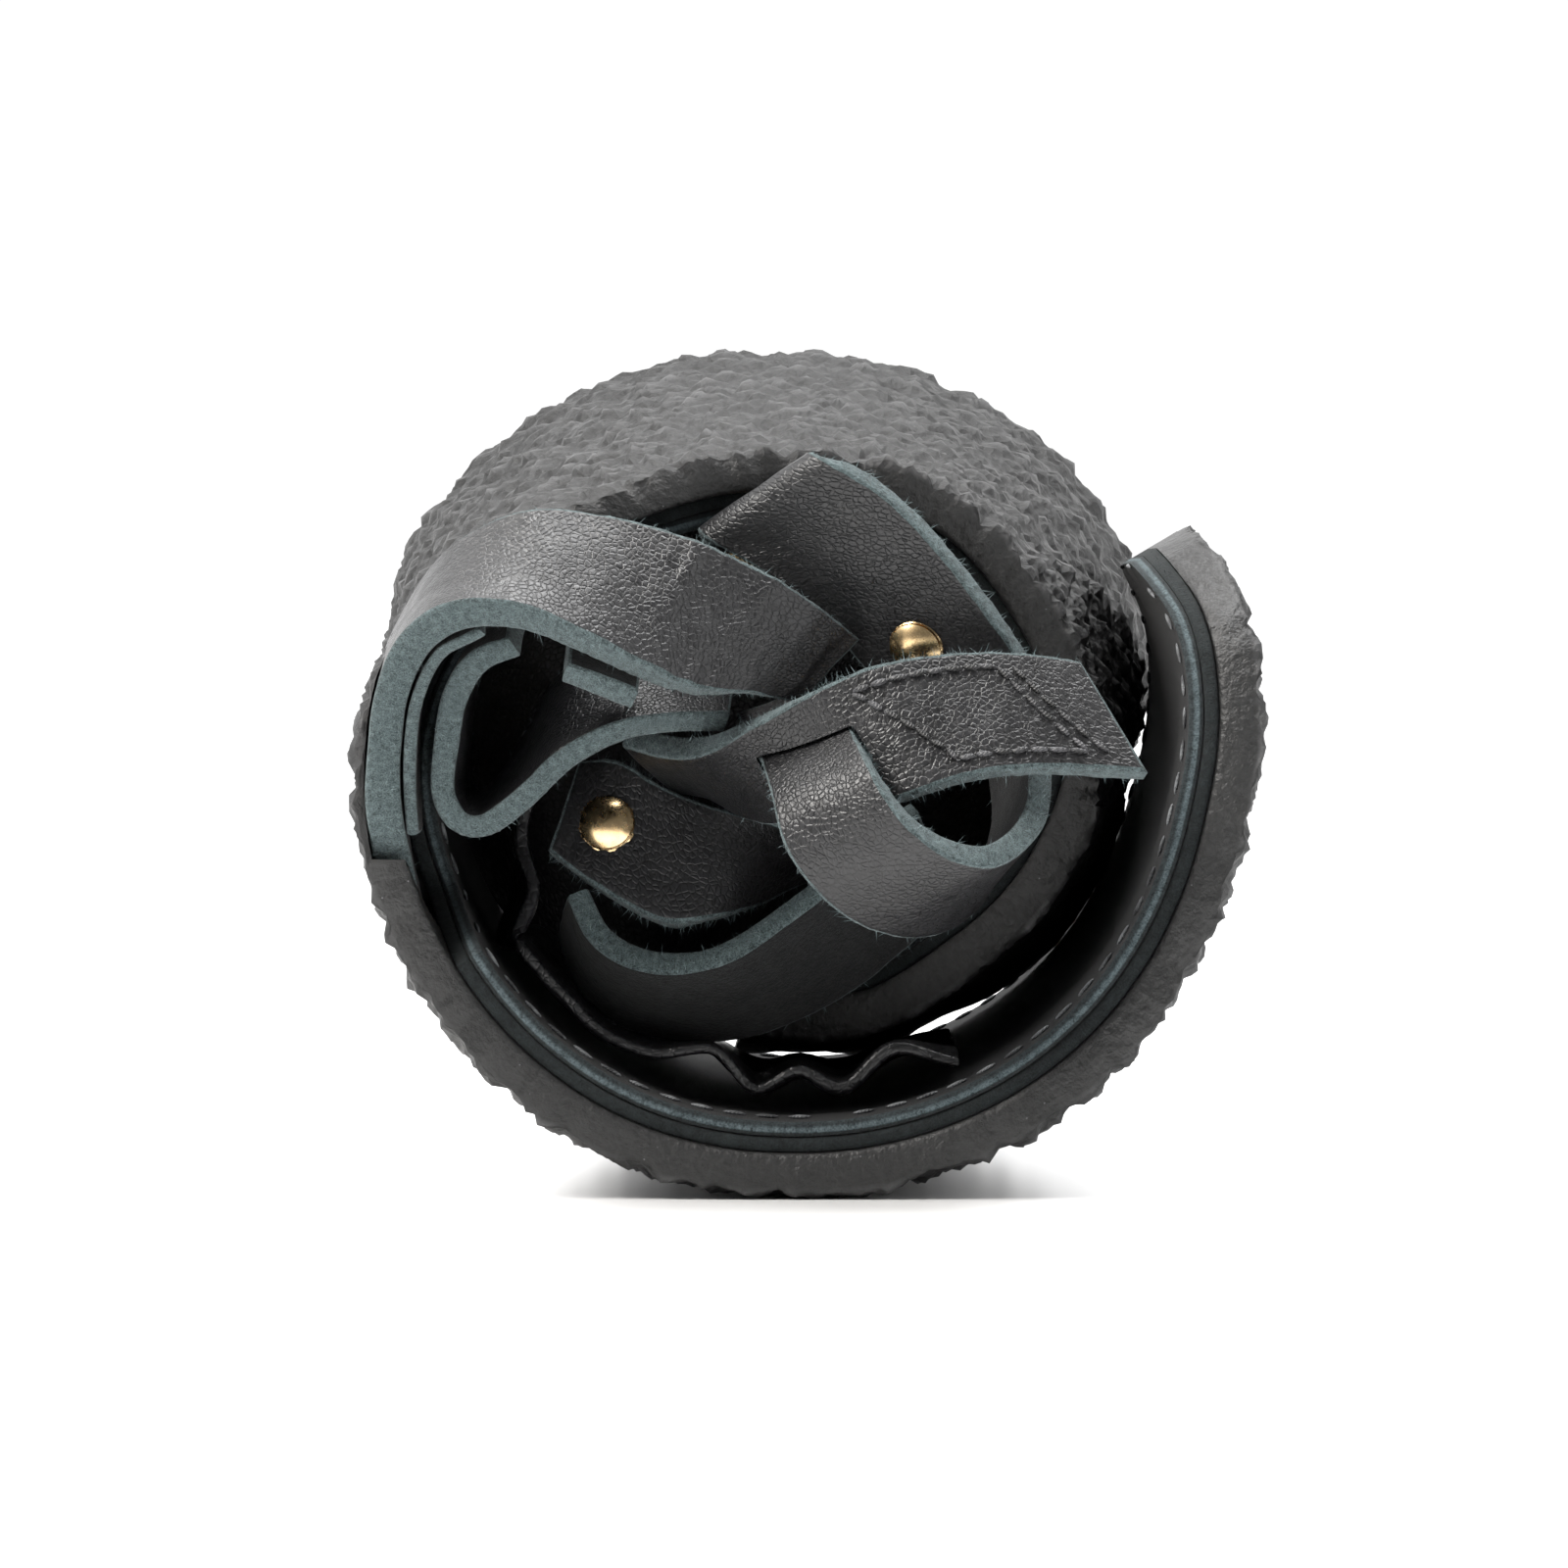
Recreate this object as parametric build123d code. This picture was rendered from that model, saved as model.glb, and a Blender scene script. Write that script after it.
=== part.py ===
"""A rolled-up leather sandal that lies on its roll.

The sole is a strip of rubber with two leather layers glued inside it, rolled up with the
tread outside.  The straps are gathered in the front mouth of the roll.  Millimetres, +Z up,
the roll runs along Y with its open front towards -Y, and it rests on the plane Z = 0.
Sizes below put Y = 0 at the front edge of the sole; the last step moves the origin to the
middle of the flat on which the roll lies.

The toe end of the sole is loose.  It is cut into four short lengths that swing open about
lines on the tread, so that the flap can be laid flat on the table.
"""
from build123d import *
from math import cos, sin, radians
import os

# Driving dimensions ------------------------------------------------------------------------

ROLL_CENTRE_X = 3.0
ROLL_CENTRE_Z = 35.75
REST_DEPTH = 46.0

RUBBER_THICKNESS = 4.0
INSOLE_THICKNESS = 1.2
FOOTBED_THICKNESS = 1.2
BOND_GAP = 0.05

STRAP_LEATHER = 2.0
DOUBLE_LEATHER = 2.8
LINING_LEATHER = 1.0

STITCH_INSET = 3.8
STITCH_WIDTH = 0.5
STITCH_HEIGHT = 0.25

SLOT_CLEARANCE = 0.3
POCKET_CLEARANCE = 0.15
POCKET_DEPTH = 4.5

RIVET_CAP_DIAMETER = 4.5
RIVET_CAP_HEIGHT = 1.2
RIVET_POST_DIAMETER = 1.8
RIVET_HOLE_CLEARANCE = 0.1
RIVET_BACK_DIAMETER = 4.0
RIVET_BACK_HEIGHT = 0.6

TOE_TURN = -29
HINGE_TURNS = (75, 49, 23, -3)
HEEL_TURN = 465
HINGE_GAP = 0.35
SOLE_STEP = 7.5
STRAP_STEPS = 4

# The roll: turn in degrees (0 right, 90 bottom, 180 left, 270 top, then the inner turn),
# radius of the tread at the front edge and at the back edge, depth of both edges.
ROLL = (
    (-29, 36.2, 36.2, 14, 50),
    (-20, 36.7, 36.7, 7, 64),
    (-8, 36.2, 36.2, 3, 76),
    (12, 35.1, 35.1, 1, 84),
    (45, 35.2, 35.2, 0, 90),
    (90, 36.0, 36.0, 0, 92),
    (120, 37.3, 36.8, 0, 92),
    (150, 37.9, 37.6, 0, 92),
    (180, 37.8, 39.0, 0, 91),
    (205, 33.6, 41.0, 4, 90),
    (228, 28.2, 38.8, 7, 88),
    (250, 25.9, 36.4, 10.5, 87),
    (270, 24.7, 34.8, 12, 86),
    (300, 23.9, 33.8, 13, 85),
    (325, 22.9, 33.0, 14, 84),
    (345, 23.2, 31.0, 15, 83),
    (362, 24.0, 29.0, 16, 83),
    (373, 23.7, 28.0, 16.8, 82.7),
    (386, 23.3, 28.15, 17.7, 82.2),
    (415, 23.0, 28.3, 20, 81),
    (427, 23.5, 27.9, 21, 80),
    (440, 24.4, 28.6, 22, 78),
    (454, 24.6, 28.4, 23.5, 74.5),
    (465, 24.6, 28.8, 25, 70),
)

# How far the leather layers stop behind the front edge of the rubber.
LEATHER_INSET = (
    (-29, 0.4),
    (150, 0.4),
    (160, 13.5),
    (214, 13.5),
    (236, 1.5),
    (465, 1.0),
)

# Straps: each row is a point of the near edge and the point of the far edge beside it.
INSTEP_STRAP = (
    ((-30.6, 0.8, 22.5), (-30.6, 12.6, 22.5)),
    ((-31.6, 0.0, 29.0), (-31.8, 12.2, 29.0)),
    ((-31.9, -1.0, 34.5), (-32.0, 11.0, 34.8)),
    ((-31.2, -2.6, 40.0), (-31.4, 9.0, 41.4)),
    ((-29.0, -4.6, 44.6), (-29.0, 6.0, 47.2)),
    ((-25.2, -6.2, 46.6), (-25.4, 3.4, 51.6)),
    ((-20.6, -6.6, 46.4), (-20.4, 2.0, 54.0)),
    ((-16.0, -6.2, 44.5), (-14.8, 1.2, 54.0)),
    ((-11.4, -5.0, 42.2), (-8.8, 0.6, 52.6)),
    ((-7.1, -3.0, 40.6), (-3.4, 0.6, 50.6)),
    ((-2.9, -0.4, 40.4), (1.8, 2.4, 47.6)),
    ((0.6, 3.2, 40.0), (5.2, 6.0, 45.0)),
)

KEEPER_LOOP = (
    ((-21.4, -3.4, 44.2), (-20.6, 5.6, 48.6)),
    ((-24.2, -3.0, 43.0), (-23.6, 8.4, 46.4)),
    ((-26.2, -1.6, 40.0), (-25.6, 10.4, 41.4)),
    ((-27.0, -0.6, 36.2), (-26.2, 11.6, 37.0)),
    ((-27.2, 0.2, 32.6), (-26.2, 12.2, 33.2)),
    ((-26.0, 0.4, 30.2), (-25.0, 12.2, 31.6)),
    ((-23.8, 0.2, 29.8), (-22.8, 11.8, 32.6)),
    ((-21.1, -0.2, 31.6), (-20.4, 10.8, 36.0)),
    ((-17.6, -0.8, 34.8), (-17.8, 8.8, 41.0)),
    ((-13.3, -0.8, 37.2), (-14.0, 8.0, 43.4)),
    ((-8.8, 0.8, 38.0), (-9.0, 9.4, 43.0)),
    ((-4.6, 3.0, 38.0), (-4.0, 11.6, 42.0)),
)

SLOTTED_STRAP = (
    ((-12.8, 7.6, 36.8), (-8.6, 15.2, 32.8)),
    ((-9.6, 4.4, 36.2), (-5.8, 12.4, 32.4)),
    ((-6.0, 0.6, 36.4), (-2.6, 8.6, 30.8)),
    ((-1.6, -2.4, 38.6), (0.8, 2.4, 30.4)),
    ((2.8, -3.4, 40.8), (5.4, -3.2, 30.8)),
    ((7.0, -3.4, 42.4), (9.8, -6.8, 32.2)),
    ((12.4, -2.8, 43.3), (14.4, -6.8, 33.7)),
    ((18.0, -2.2, 43.4), (20.2, -6.0, 34.4)),
    ((23.4, -1.4, 42.7), (28.6, -4.6, 33.9)),
)

THREADED_STRAP = (
    ((-3.4, 8.6, 38.0), (3.8, 5.4, 41.0)),
    ((-2.2, 3.4, 35.8), (5.0, 0.4, 38.6)),
    ((-1.2, -1.8, 33.8), (6.0, -5.2, 36.6)),
    ((-0.4, -6.0, 31.2), (7.2, -9.6, 34.4)),
    ((0.4, -7.6, 28.4), (8.4, -11.0, 32.4)),
    ((2.4, -7.8, 25.5), (10.3, -11.4, 30.3)),
    ((5.4, -6.0, 23.1), (13.1, -11.2, 28.4)),
    ((9.0, -3.0, 21.9), (16.1, -10.0, 27.9)),
    ((12.8, 0.4, 22.3), (18.6, -7.8, 29.2)),
    ((15.8, 3.6, 25.0), (20.2, -4.4, 31.8)),
    ((17.4, 6.4, 29.2), (20.4, -0.6, 35.2)),
    ((17.4, 8.2, 33.6), (19.2, 2.0, 38.6)),
)

CROSSING_STRAP = (
    ((-1.0, 15.0, 44.4), (7.2, 12.4, 48.2)),
    ((-3.8, 13.6, 48.0), (5.2, 10.2, 52.0)),
    ((-5.8, 12.0, 51.0), (3.4, 7.4, 56.2)),
    ((-6.6, 10.0, 52.6), (2.4, 5.0, 58.8)),
    ((-5.6, 8.4, 52.6), (4.0, 3.1, 59.0)),
    ((-3.2, 8.0, 51.4), (7.6, 2.8, 57.0)),
    ((-0.4, 7.8, 49.6), (11.0, 2.8, 54.0)),
    ((3.6, 8.2, 46.2), (14.4, 3.0, 50.0)),
    ((6.6, 8.8, 42.8), (17.0, 3.4, 46.6)),
    ((9.4, 8.8, 39.0), (19.4, 4.4, 43.0)),
    ((11.6, 9.6, 35.4), (21.0, 6.2, 39.6)),
)

RIVETED_STRAP = (
    ((-19.0, 12.8, 27.2), (-16.6, 15.6, 34.4)),
    ((-15.2, 11.8, 24.4), (-13.4, 14.2, 34.6)),
    ((-10.0, 11.0, 21.6), (-10.4, 13.6, 32.8)),
    ((-6.2, 11.6, 21.8), (-7.2, 13.8, 31.2)),
    ((-2.6, 14.6, 22.8), (-3.2, 15.2, 30.0)),
    ((1.4, 19.6, 24.8), (0.4, 17.2, 29.2)),
    ((6.0, 24.0, 26.0), (5.2, 19.0, 29.4)),
)

HEEL_STRAP = (
    ((-16.8, 9.6, 24.2), (-17.8, 19.2, 20.4)),
    ((-15.0, 8.8, 21.0), (-15.8, 18.6, 15.8)),
    ((-11.8, 8.2, 19.0), (-12.0, 18.2, 13.2)),
    ((-7.9, 8.0, 18.6), (-6.4, 18.0, 12.4)),
    ((-3.7, 8.0, 20.0), (-1.2, 18.0, 13.2)),
    ((1.8, 8.4, 23.8), (4.4, 18.2, 15.8)),
    ((6.4, 8.8, 27.6), (9.2, 17.6, 19.4)),
    ((10.6, 9.6, 31.0), (13.4, 16.6, 23.6)),
)

HEEL_COUNTER = (
    ((-26.0, 57.0, 23.8), (-26.0, 56.0, 46.2)),
    ((-20.0, 55.0, 16.0), (-20.0, 54.4, 53.0)),
    ((-12.0, 56.0, 10.6), (-12.0, 56.0, 56.8)),
    ((-8.2, 57.6, 9.6), (-8.2, 57.6, 58.0)),
    ((-4.8, 58.6, 17.6), (-4.8, 58.6, 58.8)),
    ((3.0, 59.6, 16.2), (3.0, 59.6, 59.2)),
    ((10.0, 58.4, 18.5), (10.0, 58.4, 57.2)),
    ((16.0, 56.0, 22.4), (16.0, 56.0, 53.2)),
    ((20.0, 54.0, 27.6), (20.0, 54.0, 48.0)),
)

TAB_END = (
    ((-17.4, -4.6, 42.0), (-17.0, 1.6, 46.4)),
    ((-14.6, -4.6, 41.0), (-14.2, 1.6, 45.4)),
    ((-11.8, -4.0, 40.0), (-11.4, 1.8, 44.4)),
)

# Lining inside the mouth: turn, height above the footbed at the near edge and further in.
LINER_ROWS = (
    (66, 0.4, 0.4),
    (76, 3.0, 1.2),
    (86, 0.8, 0.6),
    (94, 2.6, 1.0),
    (101, 0.6, 0.5),
    (110, 3.6, 1.4),
    (120, 1.4, 0.8),
    (132, 1.2, 0.8),
    (146, 1.2, 0.9),
)
LINER_CLEARANCE = 0.7
LINER_NEAR_DEPTH = 8.0
LINER_FAR_DEPTH = 48.0
LINER_RISE = (
    ((-21.6, 9.6, 20.8), (-23.4, 26.0, 19.6)),
    ((-20.4, 12.0, 24.4), (-22.4, 26.0, 24.4)),
    ((-21.2, 13.6, 28.6), (-23.0, 25.0, 29.2)),
    ((-20.2, 14.6, 33.2), (-22.0, 24.0, 33.8)),
)

# Rivets: strap, place along it, place across it, and the side that the dome is on.
RIVETS = (
    (RIVETED_STRAP, 0.17, 0.5, -1),
    (CROSSING_STRAP, 0.80, 0.42, -1),
    (CROSSING_STRAP, 0.175, 0.32, 1),
)

SEAM_CORNERS = ((0.58, 0.14), (0.84, 0.14), (0.94, 0.86), (0.74, 0.86))

# Helpers -----------------------------------------------------------------------------------


def on_line(rows, place):
    """Values of a table at a place, on straight lines between its rows."""
    for low, high in zip(rows, rows[1:]):
        if place <= high[0]:
            break
    share = (place - low[0]) / (high[0] - low[0])
    return [a + (b - a) * share for a, b in zip(low[1:], high[1:])]


def on_curve(rows, place):
    """Values of a table at a place, on a smooth curve through its rows."""
    last = len(rows) - 1
    index = 0
    while index < last - 1 and place > rows[index + 1][0]:
        index += 1
    low, high = rows[index], rows[index + 1]
    before, after = rows[max(index - 1, 0)], rows[min(index + 2, last)]
    step = high[0] - low[0]
    t = (place - low[0]) / step
    values = []
    for k in range(1, len(low)):
        slope_low = (high[k] - before[k]) / (high[0] - before[0]) * step
        slope_high = (after[k] - low[k]) / (after[0] - low[0]) * step
        rise = high[k] - low[k]
        values.append(low[k] + t * slope_low + t * t * (3 * rise - 2 * slope_low - slope_high)
                      + t * t * t * (slope_low + slope_high - 2 * rise))
    return values


def edges_at(turn):
    """Depth of the front edge and of the back edge of the rubber at a turn."""
    return on_curve(ROLL, turn)[2:]


def rolled(turn, depth, height):
    """Point of the rolled sole: turn in degrees, depth along Y, height above the tread."""
    front_radius, back_radius, front, back = on_curve(ROLL, turn)
    share = (depth - front) / (back - front)
    radius = front_radius + (back_radius - front_radius) * share - height
    return Vector(ROLL_CENTRE_X + radius * cos(radians(turn)), depth,
                  ROLL_CENTRE_Z - radius * sin(radians(turn)))


def turns_between(start, end, step=SOLE_STEP):
    """Evenly spaced turns from start to end."""
    count = max(1, round((end - start) / step))
    return [start + (end - start) * k / count for k in range(count + 1)]


def quad_loft(sections):
    """Solid through a row of four-cornered sections."""
    wires = [Wire.make_polygon(corners, close=True) for corners in sections]
    return Solid.make_loft(wires, ruled=True)


def sole_band(start, end, low, high, near_of, far_of):
    """Length of a sole layer between two turns, from height low to height high."""
    sections = []
    for turn in turns_between(start, end):
        near, far = near_of(turn), far_of(turn)
        sections.append([rolled(turn, near, low), rolled(turn, far, low),
                         rolled(turn, far, high), rolled(turn, near, high)])
    return quad_loft(sections)


def leather_near(turn):
    """Depth of the front edge of the leather layers."""
    return edges_at(turn)[0] + on_line(LEATHER_INSET, turn)[0]


def leather_far(turn):
    """Depth of the back edge of the leather layers."""
    return edges_at(turn)[1] - 0.4


def strap_rows(rows):
    """Rows of a strap with more of them in between, on a smooth curve."""
    table = [(k, *near, *far) for k, (near, far) in enumerate(rows)]
    fine = []
    for k in range((len(rows) - 1) * STRAP_STEPS + 1):
        values = on_curve(table, k / STRAP_STEPS)
        fine.append((Vector(*values[:3]), Vector(*values[3:])))
    return fine


def strap_normals(rows):
    """Unit normal of the strap at each row."""
    normals = []
    for k, (near, far) in enumerate(rows):
        before = rows[max(k - 1, 0)]
        after = rows[min(k + 1, len(rows) - 1)]
        along = (after[0] + after[1]) - (before[0] + before[1])
        normals.append(along.cross(far - near).normalized())
    return normals


def strap_space(rows, low, high, margin):
    """Solid beside a strap's middle surface, from low to high along its normal."""
    fine = strap_rows(rows)
    sections = []
    for (near, far), normal in zip(fine, strap_normals(fine)):
        side = (far - near).normalized() * margin
        sections.append([near - side + normal * low, far + side + normal * low,
                         far + side + normal * high, near - side + normal * high])
    return quad_loft(sections)


def strap(rows, thickness):
    """Leather strap with the given rows as its middle surface."""
    return strap_space(rows, -thickness / 2, thickness / 2, 0)


def strap_place(rows, along, across):
    """Point and normal on a strap's middle surface; along and across run from 0 to 1."""
    fine = strap_rows(rows)
    index = round(along * (len(fine) - 1))
    near, far = fine[index]
    return near + (far - near) * across, strap_normals(fine)[index]


# Sole --------------------------------------------------------------------------------------

OUTSOLE_TOP = RUBBER_THICKNESS
INSOLE_LOW = OUTSOLE_TOP + BOND_GAP
INSOLE_TOP = INSOLE_LOW + INSOLE_THICKNESS
FOOTBED_LOW = INSOLE_TOP + BOND_GAP
FOOTBED_TOP = FOOTBED_LOW + FOOTBED_THICKNESS
STITCH_LOW = FOOTBED_TOP + BOND_GAP


def outsole(start, end):
    """Rubber outsole."""
    return sole_band(start, end, 0, OUTSOLE_TOP,
                     lambda turn: edges_at(turn)[0], lambda turn: edges_at(turn)[1])


def insole(start, end):
    """Leather layer on the rubber."""
    return sole_band(start, end, INSOLE_LOW, INSOLE_TOP, leather_near, leather_far)


def footbed(start, end):
    """Leather layer that the foot stands on."""
    return sole_band(start, end, FOOTBED_LOW, FOOTBED_TOP, leather_near, leather_far)


def edge_stitching(start, end):
    """Two rows of thread on the footbed, one beside each edge."""
    front = sole_band(start, end, STITCH_LOW, STITCH_LOW + STITCH_HEIGHT,
                      lambda turn: leather_near(turn) + STITCH_INSET,
                      lambda turn: leather_near(turn) + STITCH_INSET + STITCH_WIDTH)
    back = sole_band(start, end, STITCH_LOW, STITCH_LOW + STITCH_HEIGHT,
                     lambda turn: leather_far(turn) - STITCH_INSET - STITCH_WIDTH,
                     lambda turn: leather_far(turn) - STITCH_INSET)
    return Compound([front, back])


def pocketed(solid):
    """Outsole cut back where the instep strap lies against it."""
    reach = DOUBLE_LEATHER / 2 + POCKET_CLEARANCE
    return solid - strap_space(INSTEP_STRAP[:8], -POCKET_DEPTH, reach, POCKET_CLEARANCE)


def rest_flat(solid):
    """Sole with the tread pressed flat where it lies on the table."""
    table = Pos(ROLL_CENTRE_X, 50, -10) * Box(60, 160, 20)
    return solid - table


def sole_lengths():
    """Name, start turn and end turn of each length of the sole, from the core to the toe."""
    half_gap = HINGE_GAP / 2 / 36 * 57.3
    lengths = [("core", HINGE_TURNS[0] + half_gap, HEEL_TURN)]
    stops = HINGE_TURNS + (TOE_TURN,)
    for k, (high, low) in enumerate(zip(stops, stops[1:]), start=1):
        trim = 0 if low == TOE_TURN else half_gap
        lengths.append((f"flap_{k}", low + trim, high - half_gap))
    return lengths


# Straps ------------------------------------------------------------------------------------


def instep_strap_lining():
    """Thin leather against the inner side of the instep strap."""
    high = -DOUBLE_LEATHER / 2 - POCKET_CLEARANCE
    return strap_space(INSTEP_STRAP[1:6], high - LINING_LEATHER, high, -0.4)


def footbed_liner():
    """Soft leather lining that has puckered on the footbed and stands up at the left."""
    rows = []
    for turn, near_lift, far_lift in LINER_ROWS:
        base = FOOTBED_TOP + LINING_LEATHER / 2 + LINER_CLEARANCE
        rows.append((tuple(rolled(turn, LINER_NEAR_DEPTH, base + near_lift)),
                     tuple(rolled(turn, LINER_FAR_DEPTH, base + far_lift))))
    return strap(tuple(rows) + LINER_RISE, LINING_LEATHER)


def slotted_strap():
    """Strap with a slot that the threaded strap passes through."""
    reach = STRAP_LEATHER / 2 + SLOT_CLEARANCE
    slot = strap_space(THREADED_STRAP[:6], -reach, reach, SLOT_CLEARANCE)
    return strap(SLOTTED_STRAP, STRAP_LEATHER) - slot


def seam_thread():
    """Stitched seam on the end of the slotted strap."""
    corners = []
    for along, across in SEAM_CORNERS:
        point, normal = strap_place(SLOTTED_STRAP, along, across)
        corners.append((point, normal))
    bars = []
    for (start, normal), (end, _) in zip(corners, corners[1:] + corners[:1]):
        outward = normal if normal.Y < 0 else normal * -1
        lift = outward * (STRAP_LEATHER / 2 + 0.35)
        frame = Plane(origin=(start + end) * 0.5 + lift, x_dir=end - start, z_dir=outward)
        bars.append(frame * Box((end - start).length * 0.94, STITCH_WIDTH, STITCH_HEIGHT))
    return Compound(bars)


def rivet_frames():
    """Plane of each rivet, its Z axis pointing out of the side that shows."""
    frames = []
    for rows, along, across, side in RIVETS:
        point, normal = strap_place(rows, along, across)
        outward = normal if normal.Y * side > 0 else normal * -1
        frames.append(Plane(origin=point, z_dir=outward))
    return frames


def rivet_caps():
    """Domed caps of the rivets."""
    caps = []
    for frame in rivet_frames():
        sphere_radius = (RIVET_CAP_DIAMETER ** 2 / 4 + RIVET_CAP_HEIGHT ** 2) / (2 * RIVET_CAP_HEIGHT)
        low = STRAP_LEATHER / 2 + BOND_GAP
        ball = Pos(0, 0, low + RIVET_CAP_HEIGHT - sphere_radius) * Sphere(sphere_radius)
        block = Pos(0, 0, low + RIVET_CAP_HEIGHT) * Box(9, 9, 2 * RIVET_CAP_HEIGHT)
        caps.append(frame * (ball & block).solid())
    return Compound(caps)


def rivet_posts():
    """Posts that join the caps through the leather."""
    length = STRAP_LEATHER + 2 * BOND_GAP
    return Compound([(frame * Cylinder(RIVET_POST_DIAMETER / 2, length)).solid()
                     for frame in rivet_frames()])


def rivet_back_caps():
    """Flat caps on the hidden side."""
    drop = STRAP_LEATHER / 2 + BOND_GAP + RIVET_BACK_HEIGHT / 2
    return Compound([(frame * Pos(0, 0, -drop) * Cylinder(RIVET_BACK_DIAMETER / 2, RIVET_BACK_HEIGHT)).solid()
                     for frame in rivet_frames()])


def punched(solid):
    """Strap with a hole for each rivet that goes through it."""
    radius = RIVET_POST_DIAMETER / 2 + RIVET_HOLE_CLEARANCE
    for frame in rivet_frames():
        solid = solid - frame * Cylinder(radius, 2 * STRAP_LEATHER)
    return solid


# Parts -------------------------------------------------------------------------------------


def all_parts():
    """Every piece of the sandal by its name."""
    parts = {}
    for name, start, end in sole_lengths():
        parts[f"outsole_{name}"] = outsole(start, end)
        parts[f"insole_{name}"] = insole(start, end)
        parts[f"footbed_{name}"] = footbed(start, end)
        parts[f"edge_stitching_{name}"] = edge_stitching(start, end)
    parts["outsole_core"] = pocketed(rest_flat(parts["outsole_core"]))
    parts["footbed_liner"] = footbed_liner()
    parts["instep_strap"] = strap(INSTEP_STRAP, DOUBLE_LEATHER)
    parts["instep_strap_lining"] = instep_strap_lining()
    parts["keeper_loop"] = strap(KEEPER_LOOP, STRAP_LEATHER)
    parts["slotted_strap"] = slotted_strap()
    parts["slotted_strap_seam"] = seam_thread()
    parts["threaded_strap"] = strap(THREADED_STRAP, STRAP_LEATHER)
    parts["crossing_strap"] = punched(strap(CROSSING_STRAP, STRAP_LEATHER))
    parts["riveted_strap"] = punched(strap(RIVETED_STRAP, STRAP_LEATHER))
    parts["heel_strap"] = strap(HEEL_STRAP, STRAP_LEATHER)
    parts["tab_end"] = strap(TAB_END, STRAP_LEATHER)
    parts["heel_counter"] = strap(HEEL_COUNTER, STRAP_LEATHER)
    parts["rivet_caps"] = rivet_caps()
    parts["rivet_posts"] = rivet_posts()
    parts["rivet_back_caps"] = rivet_back_caps()
    return parts


os.makedirs("parts", exist_ok=True)
to_origin = Pos(-ROLL_CENTRE_X, -REST_DEPTH, 0)
for node, shape in all_parts().items():
    export_step(to_origin * shape, f"parts/{node}.step")
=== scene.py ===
# %% [markdown]
# # A rolled leather sandal
#
# The object is a flat leather sandal that has been rolled up from heel to toe and lies on its
# roll.  A strip of black rubber with a rough tread is on the outside, two leather layers are
# glued inside it, and the straps are gathered in the open front of the roll.
#
# Everything here is cut and decorated flat, as a sandal maker does it: a blank gets its
# thickness, its rounded edges, its relief and its loose fibres on the bench, and is bent into
# place last.  So grain and stitches follow the leather round every turn.

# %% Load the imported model
from math import cos, pi, radians, sin

import bpy
import numpy as np
from mathutils import Matrix, Vector, kdtree


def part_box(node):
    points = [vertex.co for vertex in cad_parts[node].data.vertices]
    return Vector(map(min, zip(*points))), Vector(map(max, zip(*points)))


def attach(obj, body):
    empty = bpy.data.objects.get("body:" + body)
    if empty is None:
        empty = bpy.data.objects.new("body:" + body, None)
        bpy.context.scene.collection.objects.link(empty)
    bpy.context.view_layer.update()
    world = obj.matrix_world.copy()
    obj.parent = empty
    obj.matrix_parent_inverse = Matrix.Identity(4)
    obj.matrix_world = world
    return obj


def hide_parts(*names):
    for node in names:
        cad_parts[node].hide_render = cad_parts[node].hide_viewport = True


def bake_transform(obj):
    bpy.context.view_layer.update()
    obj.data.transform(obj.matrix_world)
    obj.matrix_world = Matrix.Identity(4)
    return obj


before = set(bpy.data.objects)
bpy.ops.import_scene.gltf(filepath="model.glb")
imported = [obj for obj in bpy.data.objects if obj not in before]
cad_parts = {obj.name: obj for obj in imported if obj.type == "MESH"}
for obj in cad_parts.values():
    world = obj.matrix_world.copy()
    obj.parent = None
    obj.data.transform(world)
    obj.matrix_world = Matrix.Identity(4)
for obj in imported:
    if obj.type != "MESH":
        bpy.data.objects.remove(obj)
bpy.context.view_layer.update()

# %% [markdown]
# ## The roll as a table
#
# The sole is described by turn in degrees: 0 is right, 90 the bottom, 180 left, 270 the top,
# and beyond 360 it is on its inner turn.  Each row holds the radius of the tread at the front
# and back edge and the depth of both edges.  A smooth curve through the rows gives the rest.
# Lengths in the tables are millimetres, meshes are metres.

# %% Driving sizes
MM = 0.001
PART_ORIGIN = np.array((3.0, 46.0, 0.0))
ROLL_CENTRE = np.array((3.0, 0.0, 35.75))

SOLE_WIDTH = 92.0
RUBBER = 4.0
INSOLE = 1.2
FOOTBED = 1.2
BOND_GAP = 0.05
STRAP_LEATHER = 2.0
DOUBLE_LEATHER = 2.8
LINING_LEATHER = 1.0

TOE_END = -30.5
HEEL_END = 465
HINGE_TURNS = (75, 49, 23, -3)
PIECE_TURNS = (88, 62, 36, 10, TOE_END)
BLEND_REACH = 11
HIDDEN_TURN = 372

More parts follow.
